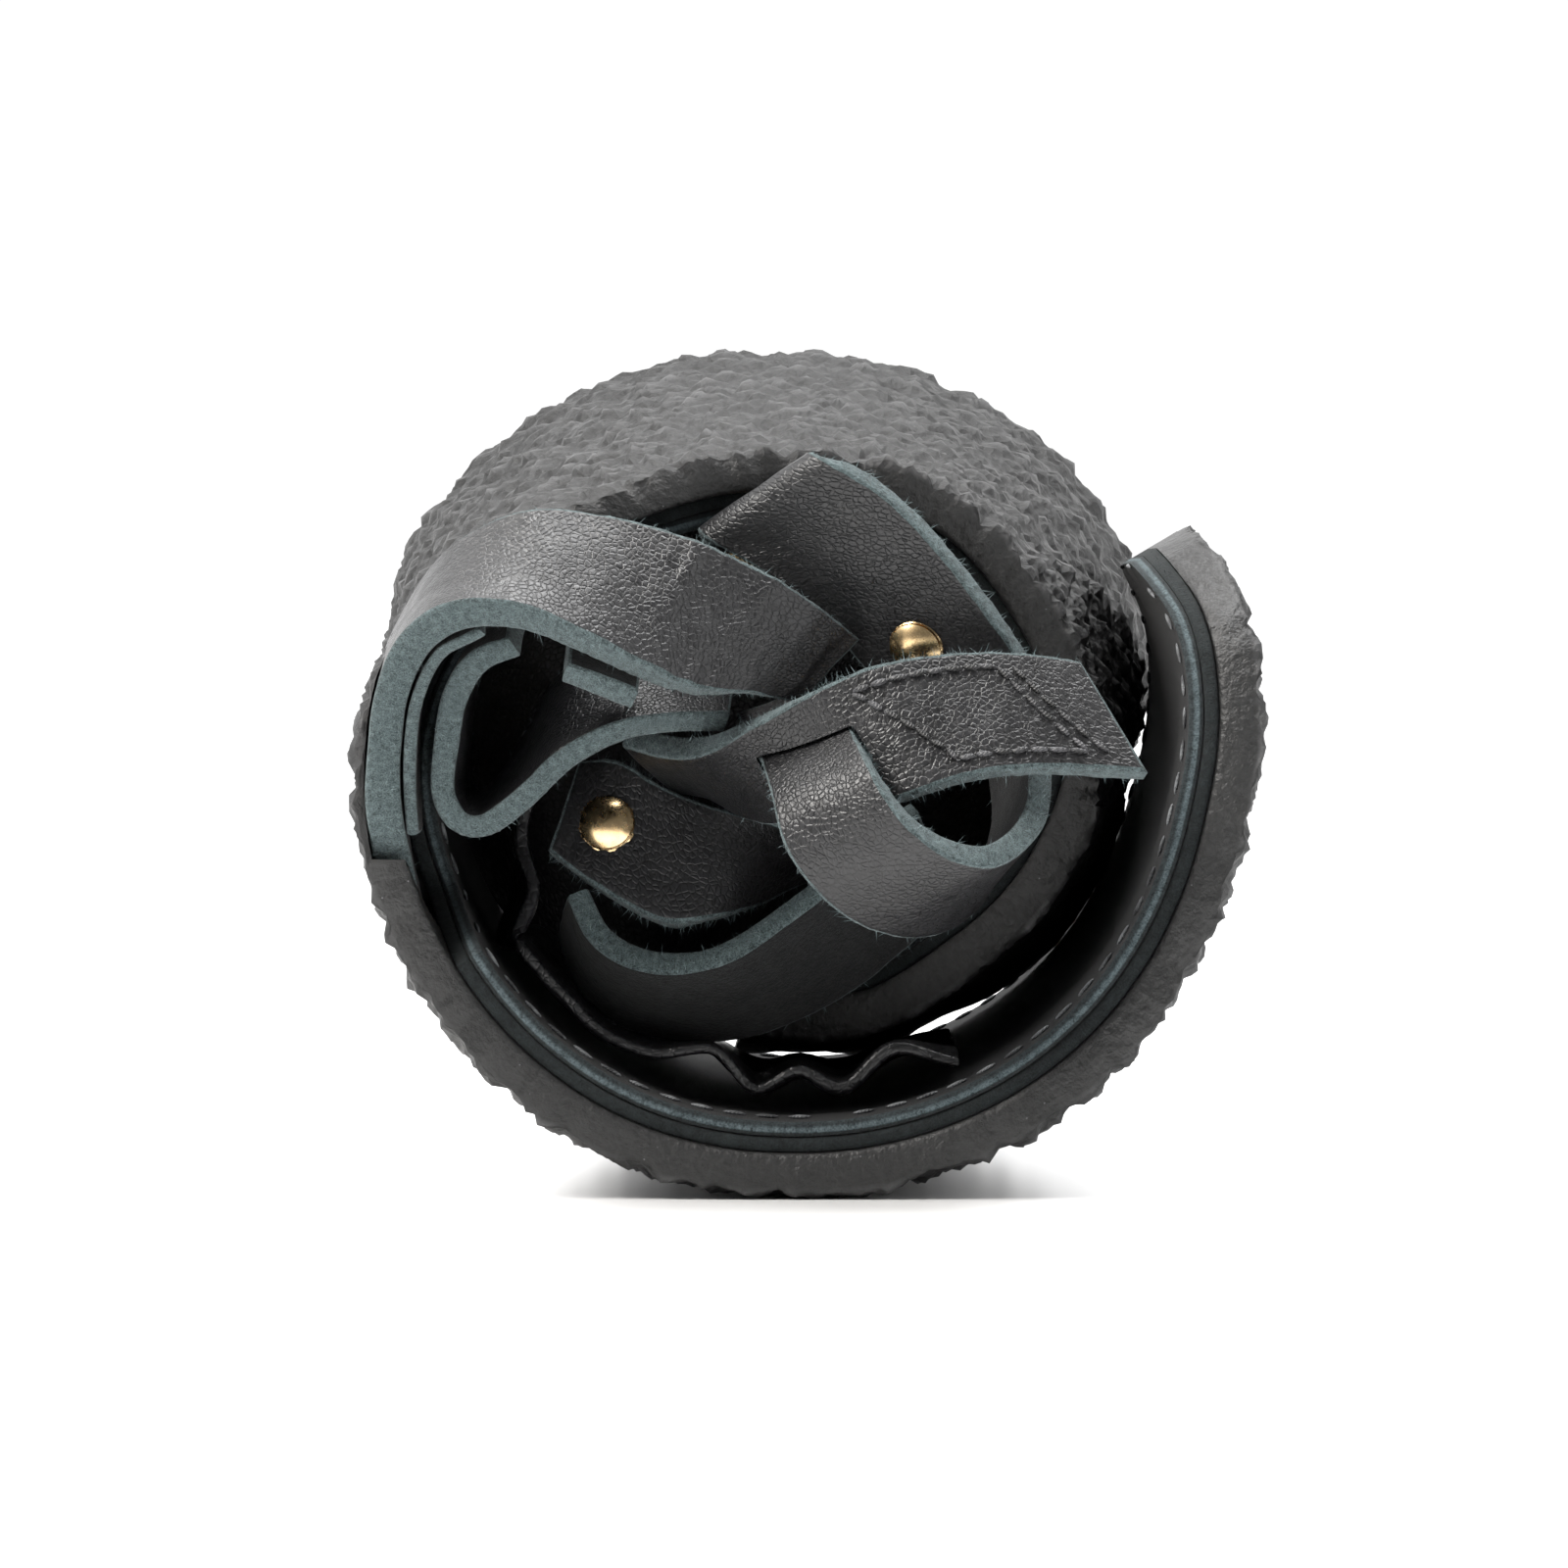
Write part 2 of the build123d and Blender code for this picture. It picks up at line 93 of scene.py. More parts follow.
ROLL = np.array((
    (-30.5, 36.2, 36.2, 23, 42),
    (-29, 36.2, 36.2, 16.5, 48),
    (-20, 36.7, 36.7, 7, 64),
    (-8, 36.2, 36.2, 3, 76),
    (12, 35.1, 35.1, 1, 84),
    (45, 35.2, 35.2, 0, 90),
    (90, 36.0, 36.0, 0, 92),
    (120, 37.3, 36.8, 0, 92),
    (150, 37.9, 37.6, 0, 92),
    (180, 37.8, 39.0, 0, 91),
    (205, 33.6, 41.0, 4, 90),
    (228, 28.2, 38.8, 7, 88),
    (250, 25.9, 36.4, 10.5, 87),
    (270, 24.7, 34.8, 12, 86),
    (300, 23.9, 33.8, 13, 85),
    (325, 22.9, 33.0, 14, 84),
    (345, 23.2, 31.5, 15, 83),
    (362, 24.0, 29.4, 16, 83),
    (373, 23.7, 28.6, 16.8, 82.7),
    (386, 23.3, 28.8, 17.7, 82.2),
    (415, 23.0, 28.5, 20, 81),
    (427, 23.5, 27.9, 21, 80),
    (440, 24.4, 28.8, 22, 78),
    (454, 24.6, 28.4, 23.5, 74.5),
    (465, 24.6, 29.1, 25, 70),
))

LEATHER_INSET = np.array(((-31, 0.4), (150, 0.4), (160, 13.5), (214, 13.5), (236, 1.5), (465, 1.0)))


def on_curve(rows, place):
    """Values of a table at each place, on a smooth curve through its rows."""
    keys, values = rows[:, 0], rows[:, 1:]
    place = np.asarray(place, float)
    low = np.clip(np.searchsorted(keys, place) - 1, 0, len(keys) - 2)
    high = low + 1
    before = np.maximum(low - 1, 0)
    after = np.minimum(high + 1, len(keys) - 1)
    step = keys[high] - keys[low]
    t = ((place - keys[low]) / step)[:, None]
    slope_low = (values[high] - values[before]) * (step / (keys[high] - keys[before]))[:, None]
    slope_high = (values[after] - values[low]) * (step / (keys[after] - keys[low]))[:, None]
    rise = values[high] - values[low]
    return (values[low] + t * slope_low + t ** 2 * (3 * rise - 2 * slope_low - slope_high)
            + t ** 3 * (slope_low + slope_high - 2 * rise))


TURNS = np.arange(TOE_END, HEEL_END + 0.25, 0.5)
SPEED = np.radians(on_curve(ROLL, TURNS)[:, :2].mean(axis=1))
LENGTHS = np.concatenate(((0,), np.cumsum((SPEED[1:] + SPEED[:-1]) / 2 * 0.5)))
print("sole length", round(LENGTHS[-1], 1), "mm")

# %% [markdown]
# ## Bending a flat blank round the roll
#
# A blank has its length on X, its width on Y and its height above the tread on Z.  One
# formula takes such a point to its place in the roll.  The tread is pressed flat where the
# roll stands on the table, so nothing goes below the table.

# %% From flat to rolled


def length_at(turn):
    """Distance along the tread from the toe, in millimetres."""
    return np.interp(turn, TURNS, LENGTHS)


def turn_at(length):
    """Turn at a distance along the tread."""
    return np.interp(length, LENGTHS, TURNS)


def rubber_edges(length):
    """Depth of the front and back edge of the rubber at each length."""
    table = on_curve(ROLL, turn_at(length))
    return table[:, 2], table[:, 3]


def leather_edges(length):
    """Depth of the front and back edge of the leather layers at each length."""
    near, far = rubber_edges(length)
    return near + np.interp(turn_at(length), LEATHER_INSET[:, 0], LEATHER_INSET[:, 1]), far - 0.4


def rolled(flat):
    """Points of a flat blank, in metres, at their places in the roll."""
    length, depth, height = (np.asarray(flat) / MM).T
    turn = turn_at(length)
    table = on_curve(ROLL, turn)
    share = (depth - table[:, 2]) / (table[:, 3] - table[:, 2])
    radius = table[:, 0] + (table[:, 1] - table[:, 0]) * share - height
    angle = np.radians(turn)
    points = np.stack((ROLL_CENTRE[0] + radius * np.cos(angle), depth,
                       ROLL_CENTRE[2] - radius * np.sin(angle)), axis=1)
    points[:, 2] = np.maximum(points[:, 2], 0)
    return (points - PART_ORIGIN) * MM


# %% [markdown]
# ## Bench tools
#
# A few helpers do what a maker does again and again: clear the bench, apply a modifier, cut
# a blank, round its edges, and copy a small model to many places.

# %% Selecting and applying


def only(*pieces):
    """Select these pieces and nothing else."""
    bpy.ops.object.select_all(action="DESELECT")
    for piece in pieces:
        piece.select_set(True)
    bpy.context.view_layer.objects.active = pieces[0]


def modify(piece, kind, **settings):
    """Add one modifier and apply it at once."""
    modifier = piece.modifiers.new(kind.title(), kind)
    for key, value in settings.items():
        setattr(modifier, key, value)
    only(piece)
    bpy.ops.object.modifier_apply(modifier=modifier.name)


def places(piece):
    """Vertex places of a piece as an array."""
    flat = np.empty(len(piece.data.vertices) * 3)
    piece.data.vertices.foreach_get("co", flat)
    return flat.reshape(-1, 3)


def move(piece, points):
    """Put the vertices of a piece at new places."""
    piece.data.vertices.foreach_set("co", np.asarray(points, float).ravel())
    piece.data.update()


def weigh(piece, name, weights):
    """Vertex group with a weight for each vertex."""
    group = piece.vertex_groups.new(name=name)
    for index, weight in enumerate(weights):
        if weight > 0.01:
            group.add([index], float(weight), "REPLACE")
    return name


def add_materials(piece, *materials):
    """Give a piece its materials in slot order."""
    for material in materials:
        piece.data.materials.append(material)


def keep_flat(piece, name="flat"):
    """Remember the flat places, which the materials read."""
    attribute = piece.data.attributes.new(name, "FLOAT_VECTOR", "POINT")
    attribute.data.foreach_set("vector", places(piece).ravel())


# %% A flat blank with rounded long edges


def blank(name, looks, start, length, width, step, low, high, rounding, segments=2,
          round_ends=False):
    """Strip of sheet material, in metres, with its thickness and its edges rounded.

    Its looks are those of the lower side, the upper side and the cut edge.
    """
    columns = max(2, round(length / step))
    rows = max(2, round(width / step))
    bpy.ops.object.select_all(action="DESELECT")
    bpy.ops.mesh.primitive_grid_add(x_subdivisions=columns, y_subdivisions=rows, size=1)
    strip = bpy.context.active_object
    strip.name = name
    strip.data.name = name
    add_materials(strip, *looks)
    bpy.ops.object.mode_set(mode="EDIT")
    bpy.ops.mesh.select_all(action="SELECT")
    bpy.ops.transform.resize(value=(length, width, 1))
    bpy.ops.transform.translate(value=(start + length / 2, width / 2, low))
    bpy.ops.object.mode_set(mode="OBJECT")
    modify(strip, "SOLIDIFY", thickness=high - low, offset=1, material_offset=1,
           material_offset_rim=2)
    round_edges(strip, start, length, width, rounding, segments, round_ends)
    return strip


def round_edges(strip, start, length, width, rounding, segments, round_ends):
    """Bevel the long edges of a blank, and its ends where they show."""
    points = places(strip)
    tiny = 1e-6
    side = (points[:, 1] < tiny) | (points[:, 1] > width - tiny)
    end = (points[:, 0] < start + tiny) | (points[:, 0] > start + length - tiny)
    for edge in strip.data.edges:
        a, b = edge.vertices
        level = abs(points[a, 2] - points[b, 2]) < tiny
        along = side[a] and side[b] and abs(points[a, 1] - points[b, 1]) < tiny
        across = round_ends and end[a] and end[b] and abs(points[a, 0] - points[b, 0]) < tiny
        edge.select = bool(level and (along or across))
    for vertex in strip.data.vertices:
        vertex.select = False
    for face in strip.data.polygons:
        face.select = False
    only(strip)
    bpy.context.tool_settings.mesh_select_mode = (False, True, False)
    bpy.ops.object.mode_set(mode="EDIT")
    bpy.ops.mesh.bevel(offset=rounding, segments=segments, affect="EDGES", material=2)
    bpy.ops.object.mode_set(mode="OBJECT")


# %% Relief and copies


def relief(piece, kind, size, strength, direction="Z", group="", middle=0.0, **settings):
    """Push the surface of a flat blank in and out by a procedural texture."""
    texture = bpy.data.textures.new(piece.name + "_" + kind.lower(), kind)
    texture.noise_scale = size
    for key, value in settings.items():
        setattr(texture, key, value)
    modify(piece, "DISPLACE", texture=texture, strength=strength, direction=direction,
           vertex_group=group, mid_level=middle, texture_coords="LOCAL")


def scatter(name, model, frames):
    """Copies of a small model at many places, as one mesh."""
    points = places(model)
    faces = [tuple(face.vertices) for face in model.data.polygons]
    corners = np.concatenate([points @ turn.T + place for turn, place in frames])
    count = len(points)
    loops = [tuple(k * count + v for v in face) for k in range(len(frames)) for face in faces]
    mesh = bpy.data.meshes.new(name)
    mesh.from_pydata(corners.tolist(), [], loops)
    piece = bpy.data.objects.new(name, mesh)
    bpy.context.scene.collection.objects.link(piece)
    return piece


def finish_piece(piece, node, angle=40):
    """Shade a piece; if it stands for a CAD node, hide that node and print the face count and how far
    the piece stands proud of the node.
    """
    only(piece)
    bpy.ops.object.shade_smooth_by_angle(angle=radians(angle))
    if node:
        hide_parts(node)
        low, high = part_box(node)
        points = places(piece)
        proud = max(float((np.array(low) - points.min(axis=0)).max()),
                    float((points.max(axis=0) - np.array(high)).max()))
        print(piece.name, len(piece.data.polygons), "faces, stands proud", round(proud / MM, 2), "mm")
    return piece


# %% [markdown]
# ## Materials
#
# All patterns read the flat place of each point, so they stay on the surface when a piece is
# bent.  One helper adds a node and connects it, another makes the soft steps of a colour ramp.

# %% Node helpers


def material(name, **surface):
    """New material with its constant shader values."""
    made = bpy.data.materials.new(name)
    made.use_nodes = True
    shader = made.node_tree.nodes["Principled BSDF"]
    for socket, value in surface.items():
        shader.inputs[socket.replace("_", " ")].default_value = value
    return made


def node(made, kind, inputs, **settings):
    """Add a node, set its options and connect or fill its inputs."""
    added = made.node_tree.nodes.new("ShaderNode" + kind)
    for key, value in settings.items():
        setattr(added, key, value)
    for socket, value in inputs.items():
        if isinstance(value, bpy.types.NodeSocket):
            made.node_tree.links.new(value, added.inputs[socket])
        else:
            added.inputs[socket].default_value = value
    return added


def flat_place(made, stretch=(1, 1, 1)):
    """Flat place of the surface, stretched where a pattern runs one way."""
    read = node(made, "Attribute", {}, attribute_name="flat")
    return node(made, "Mapping", {"Vector": read.outputs["Vector"], "Scale": stretch}).outputs[0]


def noise(made, place, size, detail=3, rough=0.55):
    """Soft noise with patches of a size in metres."""
    return node(made, "TexNoise", {"Vector": place, "Scale": 1 / size, "Detail": detail,
                                   "Roughness": rough}).outputs["Fac"]


def cells(made, place, size, feature="F1"):
    """Distance pattern of cells of a size in metres."""
    return node(made, "TexVoronoi", {"Vector": place, "Scale": 1 / size},
                feature=feature).outputs["Distance"]


def ramp(made, factor, *stops):
    """Colours or grey values at places from 0 to 1."""
    added = node(made, "ValToRGB", {"Fac": factor})
    elements = added.color_ramp.elements
    while len(elements) < len(stops):
        elements.new(0.5)
    for element, (place, colour) in zip(elements, stops):
        element.position = place
        grey = isinstance(colour, (int, float))
        element.color = (colour, colour, colour, 1) if grey else (*colour, 1)
    return added.outputs["Color"]


def blend_colours(made, factor, first, second, how="MIX"):
    """Mix of two colours or patterns."""
    added = made.node_tree.nodes.new("ShaderNodeMix")
    added.data_type = "RGBA"
    added.blend_type = how
    for index, value in ((0, factor), (6, first), (7, second)):
        if isinstance(value, bpy.types.NodeSocket):
            made.node_tree.links.new(value, added.inputs[index])
        elif index:
            added.inputs[index].default_value = (*value, 1)
        else:
            added.inputs[index].default_value = value
    return added.outputs[2]


def bump(made, height, depth, below=None, strength=1.0):
    """Bump of a depth in metres, on top of another bump."""
    inputs = {"Height": height, "Distance": depth, "Strength": strength}
    if below is not None:
        inputs["Normal"] = below
    return node(made, "Bump", inputs).outputs[0]


def connect(made, **sockets):
    """Connect patterns to the shader."""
    shader = made.node_tree.nodes["Principled BSDF"]
    for socket, value in sockets.items():
        made.node_tree.links.new(value, shader.inputs[socket.replace("_", " ")])


# %% [markdown]
# ### Black rubber
#
# The tread is matt and dusty and lighter on its worn high places; its pits are darkened to
# near black as painted shade.  The cut side wall is satin with fine wrinkles and a few tiny
# specks.  Height above the tread tells one from the other, so one material does for both.

# %% Rubber


def make_rubber():
    """Rubber of the outsole, tread and side wall."""
    made = material("black_rubber", Roughness=0.55, Specular_IOR_Level=0.45)
    place = flat_place(made)
    height = node(made, "SeparateXYZ", {"Vector": node(made, "Attribute", {},
                  attribute_name="flat").outputs["Vector"]}).outputs["Z"]
    pit = node(made, "Attribute", {}, attribute_name="pit").outputs["Fac"]
    wall = node(made, "MapRange", {"Value": height, "From Min": 0.0004, "From Max": 0.0009}).outputs[0]
    dust = noise(made, place, 0.0030, 5, 0.65)
    # tread colour by pressed depth: worn lumps lighter, deep pits darkened as painted shade
    tread = ramp(made, pit, (0.0, (0.105, 0.105, 0.107)), (0.3, (0.042, 0.042, 0.043)),
                 (0.65, (0.005, 0.005, 0.005)))
    dusty = ramp(made, dust, (0.3, 0.55), (0.7, 1.2))
    tread = blend_colours(made, 1.0, tread, dusty, "MULTIPLY")
    speck = ramp(made, cells(made, place, 0.0016), (0.03, (0.12, 0.12, 0.13)), (0.055, (0.0, 0.0, 0.0)))
    side = ramp(made, noise(made, place, 0.0006, 4), (0.3, (0.007, 0.007, 0.007)),
                (0.75, (0.018, 0.018, 0.018)))
    side = blend_colours(made, 1.0, side, speck, "ADD")
    matt = ramp(made, dust, (0.3, 0.58), (0.7, 0.42))
    satin = ramp(made, dust, (0.3, 0.42), (0.7, 0.55))
    grain = bump(made, noise(made, place, 0.0004, 6, 0.7), 0.00018)
    tread_bump = bump(made, cells(made, place, 0.0011), 0.0004, grain, 1.0)
    folds = noise(made, place, 0.0009, 4, 0.6)
    wall_bump = bump(made, folds, 0.0003, bump(made, noise(made, place, 0.00025, 3), 0.00003))
    normal = node(made, "Mix", {}, data_type="VECTOR")
    for index, value in ((0, wall), (4, tread_bump), (5, wall_bump)):
        made.node_tree.links.new(value, normal.inputs[index])
    connect(made, Base_Color=blend_colours(made, wall, tread, side),
            Roughness=blend_colours(made, wall, matt, satin), Normal=normal.outputs[1])
    return made


RUBBER_LOOK = make_rubber()
print("rubber", len(RUBBER_LOOK.node_tree.nodes), "nodes")

# %% [markdown]
# ### Leather
#
# The straps are black grain leather: satin, with pebbles of about half a millimetre.  Its
# flesh side is soft and very dark.  The cut edges aren't painted, so the blue-green fibres
# of the hide show, lighter and darker in turn.  The footbed is black suede.

# %% Leather, thread and metal


def make_grain_leather(name, roughness, pebble):
    """Smooth black side of the leather, with painted shade darkening the creases between its pebbles.
    """
    made = material(name, Specular_IOR_Level=0.5)
    place = flat_place(made)
    wander = blend_colours(made, 0.0004, place, node(made, "TexNoise", {"Vector": place, "Scale": 900,
                           "Detail": 2}).outputs["Color"])
    pebbles = cells(made, wander, pebble, "DISTANCE_TO_EDGE")
    creases = ramp(made, pebbles, (0.0, 0.0), (0.16, 0.8), (0.5, 1.0))
    tone = ramp(made, noise(made, place, 0.004, 4), (0.3, (0.0075, 0.0075, 0.0085)),
                (0.7, (0.013, 0.013, 0.0145)))
    # painted shade: the creases between pebbles are darkened to 0.3 of the tone
    colour = blend_colours(made, 1.0, tone, ramp(made, pebbles, (0.0, 0.3), (0.14, 1.0)), "MULTIPLY")
    shine = ramp(made, noise(made, place, 0.0015, 4), (0.3, roughness - 0.05), (0.7, roughness + 0.07))
    soft = bump(made, noise(made, place, 0.0022, 4, 0.6), 0.00016)
    pores = bump(made, noise(made, place, 0.00022, 2), 0.00002, soft)
    connect(made, Base_Color=colour, Roughness=shine, Normal=bump(made, creases, 0.00004, pores))
    return made


def make_fibrous(name, dark, light, size, sheen, depth=0.00012, line=None):
    """Suede, flesh side or cut edge: short fibres, matt.  line gives a height band of the cut edge, and
    above and below it the colour is darkened as painted shade.
    """
    made = material(name, Roughness=0.88, Specular_IOR_Level=0.25, Sheen_Weight=sheen,
                    Sheen_Roughness=0.5)
    place = flat_place(made)
    clumps = noise(made, place, size * 4, 4, 0.6)
    fibres = noise(made, place, size, 5, 0.75)
    mixed = blend_colours(made, 0.62, clumps, fibres)
    colour = ramp(made, mixed, (0.36, dark), (0.62, light))
    if line:
        # painted shade on the cut edge above and below the band given by line
        height = node(made, "SeparateXYZ", {"Vector": place}).outputs["Z"]
        lower, upper = line
        near = node(made, "MapRange",
                    {"Value": height, "From Min": lower * MM, "From Max": upper * MM}).outputs[0]
        shade = ramp(made, near, (0.0, 0.14), (0.3, 0.2), (0.42, 1.0), (0.62, 0.9), (0.8, 0.3))
        colour = blend_colours(made, 1.0, colour, shade, "MULTIPLY")
    connect(made, Base_Color=colour, Normal=bump(made, fibres, depth, bump(made, clumps, depth)))
    return made


def make_thread(name, dark, light, roughness):
    """Waxed thread with a fine twist."""
    made = material(name, Roughness=roughness, Specular_IOR_Level=0.5)
    place = flat_place(made)
    twist = node(made, "TexWave", {"Vector": place, "Scale": 1800, "Distortion": 1.5},
                 bands_direction="DIAGONAL").outputs["Fac"]
    worn = noise(made, place, 0.0025, 3)
    connect(made, Base_Color=ramp(made, worn, (0.4, dark), (0.62, light)),
            Normal=bump(made, twist, 0.00006))
    return made


def make_gold():
    """Polished warm gold of the rivets, with fine scratches."""
    made = material("gold_metal", Metallic=1.0, Base_Color=(0.86, 0.62, 0.34, 1))
    place = node(made, "TexCoord", {}).outputs["Object"]
    worn = noise(made, place, 0.0008, 5, 0.7)
    connect(made, Roughness=ramp(made, worn, (0.3, 0.22), (0.7, 0.30)),
            Base_Color=ramp(made, worn, (0.3, (0.90, 0.68, 0.38)), (0.75, (0.78, 0.54, 0.28))),
            Normal=bump(made, noise(made, place, 0.0003, 2), 0.0000008))
    return made


GRAIN = make_grain_leather("black_leather", 0.38, 0.00046)
LINING_GRAIN = make_grain_leather("lining_leather", 0.34, 0.0008)
FLESH = make_fibrous("leather_flesh_side", (0.004, 0.004, 0.0045), (0.015, 0.016, 0.017),
                     0.0003, 0.06)
RAW_EDGE = make_fibrous("leather_cut_edge", (0.007, 0.012, 0.013), (0.120, 0.160, 0.165),
                        0.00014, 0.1)
FIBRES = make_fibrous("loose_fibres", (0.045, 0.068, 0.072), (0.20, 0.26, 0.27), 0.0006, 0.15)
SUEDE = make_fibrous("suede_footbed", (0.004, 0.004, 0.0045), (0.013, 0.013, 0.014), 0.0003, 0.06)
# the footbed's cut edge gets painted shade above and below a middle band
FOOTBED_EDGE = make_fibrous("footbed_cut_edge", (0.016, 0.023, 0.026), (0.115, 0.150, 0.162),
                            0.00016, 0.05, line=(RUBBER + INSOLE, RUBBER + INSOLE + FOOTBED))
INSOLE_EDGE = make_fibrous("insole_cut_edge", (0.004, 0.005, 0.0055), (0.015, 0.020, 0.021),
                           0.00018, 0.04)
PALE_THREAD = make_thread("grey_thread", (0.05, 0.052, 0.055), (0.24, 0.25, 0.26), 0.6)
DARK_THREAD = make_thread("black_thread", (0.004, 0.004, 0.004), (0.06, 0.06, 0.065), 0.45)
GOLD = make_gold()
print("materials", [m.name for m in (GRAIN, FLESH, RAW_EDGE, SUEDE, GOLD)])

# %% [markdown]
# ## Loose fibres
#
# A cut edge of soft leather frays.  One fibre is a long thin cone with three sides, and it is
# copied along both edges of a blank, leaning every way, before the blank is bent.

# %% Frayed edges


def fibre_model():
    """One short tapered fibre along Z, one unit long."""
    bpy.ops.object.select_all(action="DESELECT")
    bpy.ops.mesh.primitive_cone_add(vertices=3, radius1=0.05, depth=1, location=(0, 0, 0.4))
    model = bpy.context.active_object
    bpy.ops.object.transform_apply(location=True)
    return model


def fibres_for(strip, edges, low, high, per_mm, longest, look, seed):
    """Flat fibres along the edges of a blank: edges give Y of near and far edge at each X."""
    chance = np.random.default_rng(seed)
    points = places(strip)
    start, end = points[:, 0].min(), points[:, 0].max()
    model = fibre_model()
    frames = []
    for which, outward in ((0, -1), (1, 1)):
        count = int((end - start) / MM * per_mm)
        along = chance.uniform(start, end, count)
        edge = edges(along)[which]
        up = chance.uniform(low, high, count)
        size = longest * chance.uniform(0.25, 1.0, count) ** 2
        lean = chance.normal(0, 0.75, (count, 2))
        for x, y, z, long, (sway, tilt) in zip(along, edge, up, size, lean):
            way = Vector((sway, outward, tilt)).normalized()
            turn = np.array(way.to_track_quat("Z", "Y").to_matrix())
            thin = np.diag((long ** 0.5 * 0.022, long ** 0.5 * 0.022, long))
            frames.append((turn @ thin, np.array((x, y - outward * 0.08 * MM, z))))
    fibres = scatter("fibres", model, frames)
    bpy.data.objects.remove(model)
    add_materials(fibres, look)
    keep_flat(fibres)
    print(strip.name, "frayed with", len(frames), "fibres")
    return fibres


def join(piece, *others):
    """Make several meshes one piece."""
    only(piece, *others)
    bpy.ops.object.join()


# %% [markdown]
# ## The sole
#
# Each layer is cut as a flat strip, brought to the outline of the sole, and rolled.  The toe
# flap is made in four lengths, and each spans one of four hinge lines.

# %% Cutting a layer of the sole


def to_outline(strip, edges, width):
    """Bring the straight edges of a blank to the outline of the sole."""
    points = places(strip)
    near, far = edges(points[:, 0] / MM)
    points[:, 1] = (near + points[:, 1] / width * (far - near)) * MM
    move(strip, points)


def in_metres(edges):
    """Edge function that takes and gives metres."""
    return lambda along: [edge * MM for edge in edges(along / MM)]


def sole_strip(name, looks, start, end, step, low, high, rounding, edges, segments=2):
    """Layer of the sole between two turns, still flat."""
    first, last = length_at(start) * MM, length_at(end) * MM
    strip = blank(name, looks, first, last - first, SOLE_WIDTH * MM, step * MM, low * MM,
                  high * MM, rounding * MM, segments)
    to_outline(strip, edges, SOLE_WIDTH * MM)
    return strip


def roll_up(piece):
    """Bend a flat piece of the sole.  Rolling turns its faces over, so they are turned back."""
    move(piece, rolled(places(piece)))
    piece.data.flip_normals()


def hang_on(piece, part):
    """Attach a core length of the sole to the core body; a flap length only gets its transform baked.
    """
    if part == "core":
        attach(piece, "core")
        return
    index = int(part[-1])
    hinge = HINGE_TURNS[index - 1]
    ends = length_at(np.array((hinge + BLEND_REACH, hinge - BLEND_REACH)))
    start, end = rolled([(length * MM, 46 * MM, 0) for length in ends])
    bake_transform(piece)


PARTS = [("core", PIECE_TURNS[0], HEEL_END)]
for index, (high_turn, low_turn) in enumerate(zip(PIECE_TURNS, PIECE_TURNS[1:]), start=1):
    PARTS.append((f"flap_{index}", low_turn, high_turn))
print("lengths of the sole", PARTS)

# %% [markdown]
# ### Strap tables
#
# A strap is a ribbon between two edges.  Each row holds a point of its near edge and the
# point of its far edge beside it, and a smooth curve joins the rows.

# %% Rows of the straps
INSTEP_STRAP = (
    ((-30.2, 8.0, 21.2), (-30.6, 14.0, 22.5)),
    ((-31.6, 0.0, 29.0), (-31.8, 12.2, 29.0)),
    ((-31.9, -1.0, 34.5), (-32.0, 11.0, 34.8)),
    ((-31.2, -2.6, 40.0), (-31.4, 9.0, 41.4)),
    ((-29.0, -4.6, 44.6), (-29.0, 6.0, 47.2)),
    ((-25.2, -6.2, 46.6), (-25.4, 3.4, 51.6)),
    ((-20.6, -6.6, 46.4), (-20.4, 2.0, 54.0)),
    ((-16.0, -6.2, 44.5), (-14.8, 1.2, 54.0)),
    ((-11.4, -5.0, 42.2), (-8.8, 0.6, 52.6)),
    ((-7.1, -3.0, 40.6), (-3.4, 0.6, 50.6)),
    ((-2.9, -0.4, 40.4), (1.8, 2.4, 47.6)),
    ((0.6, 3.2, 40.0), (5.2, 6.0, 45.0)),
)
KEEPER_LOOP = (
    ((-21.4, -3.4, 44.2), (-20.6, 5.6, 48.6)),
    ((-24.2, -3.0, 43.0), (-23.6, 8.4, 46.4)),
    ((-26.2, -1.6, 40.0), (-25.6, 10.4, 41.4)),
    ((-27.0, -0.6, 36.2), (-26.2, 11.6, 37.0)),
    ((-27.2, 0.2, 32.6), (-26.2, 12.2, 33.2)),
    ((-26.0, 0.4, 30.2), (-25.0, 12.2, 31.6)),
    ((-23.8, 0.2, 29.8), (-22.8, 11.8, 32.6)),
    ((-21.1, -0.2, 31.6), (-20.4, 10.8, 36.0)),
    ((-17.6, -0.8, 34.8), (-17.8, 8.8, 41.0)),
    ((-13.3, -0.8, 37.2), (-14.0, 8.0, 43.4)),
    ((-8.8, 0.8, 38.0), (-9.0, 9.4, 43.0)),
    ((-4.6, 3.0, 38.0), (-4.0, 11.6, 42.0)),
)
SLOTTED_STRAP = (
    ((-12.8, 7.6, 36.8), (-8.6, 15.2, 32.8)),
    ((-9.6, 4.4, 36.2), (-5.8, 12.4, 32.4)),
    ((-6.0, 0.6, 36.4), (-2.6, 8.6, 30.8)),
    ((-1.6, -2.4, 38.6), (0.8, 2.4, 30.4)),
    ((2.8, -3.4, 40.8), (5.4, -3.2, 30.8)),
    ((7.0, -3.4, 42.4), (9.8, -6.8, 32.2)),
    ((12.4, -2.8, 43.3), (14.4, -6.8, 33.7)),
    ((18.0, -2.2, 43.4), (20.2, -6.0, 34.4)),
    ((23.4, -1.4, 42.7), (28.6, -4.6, 33.9)),
)
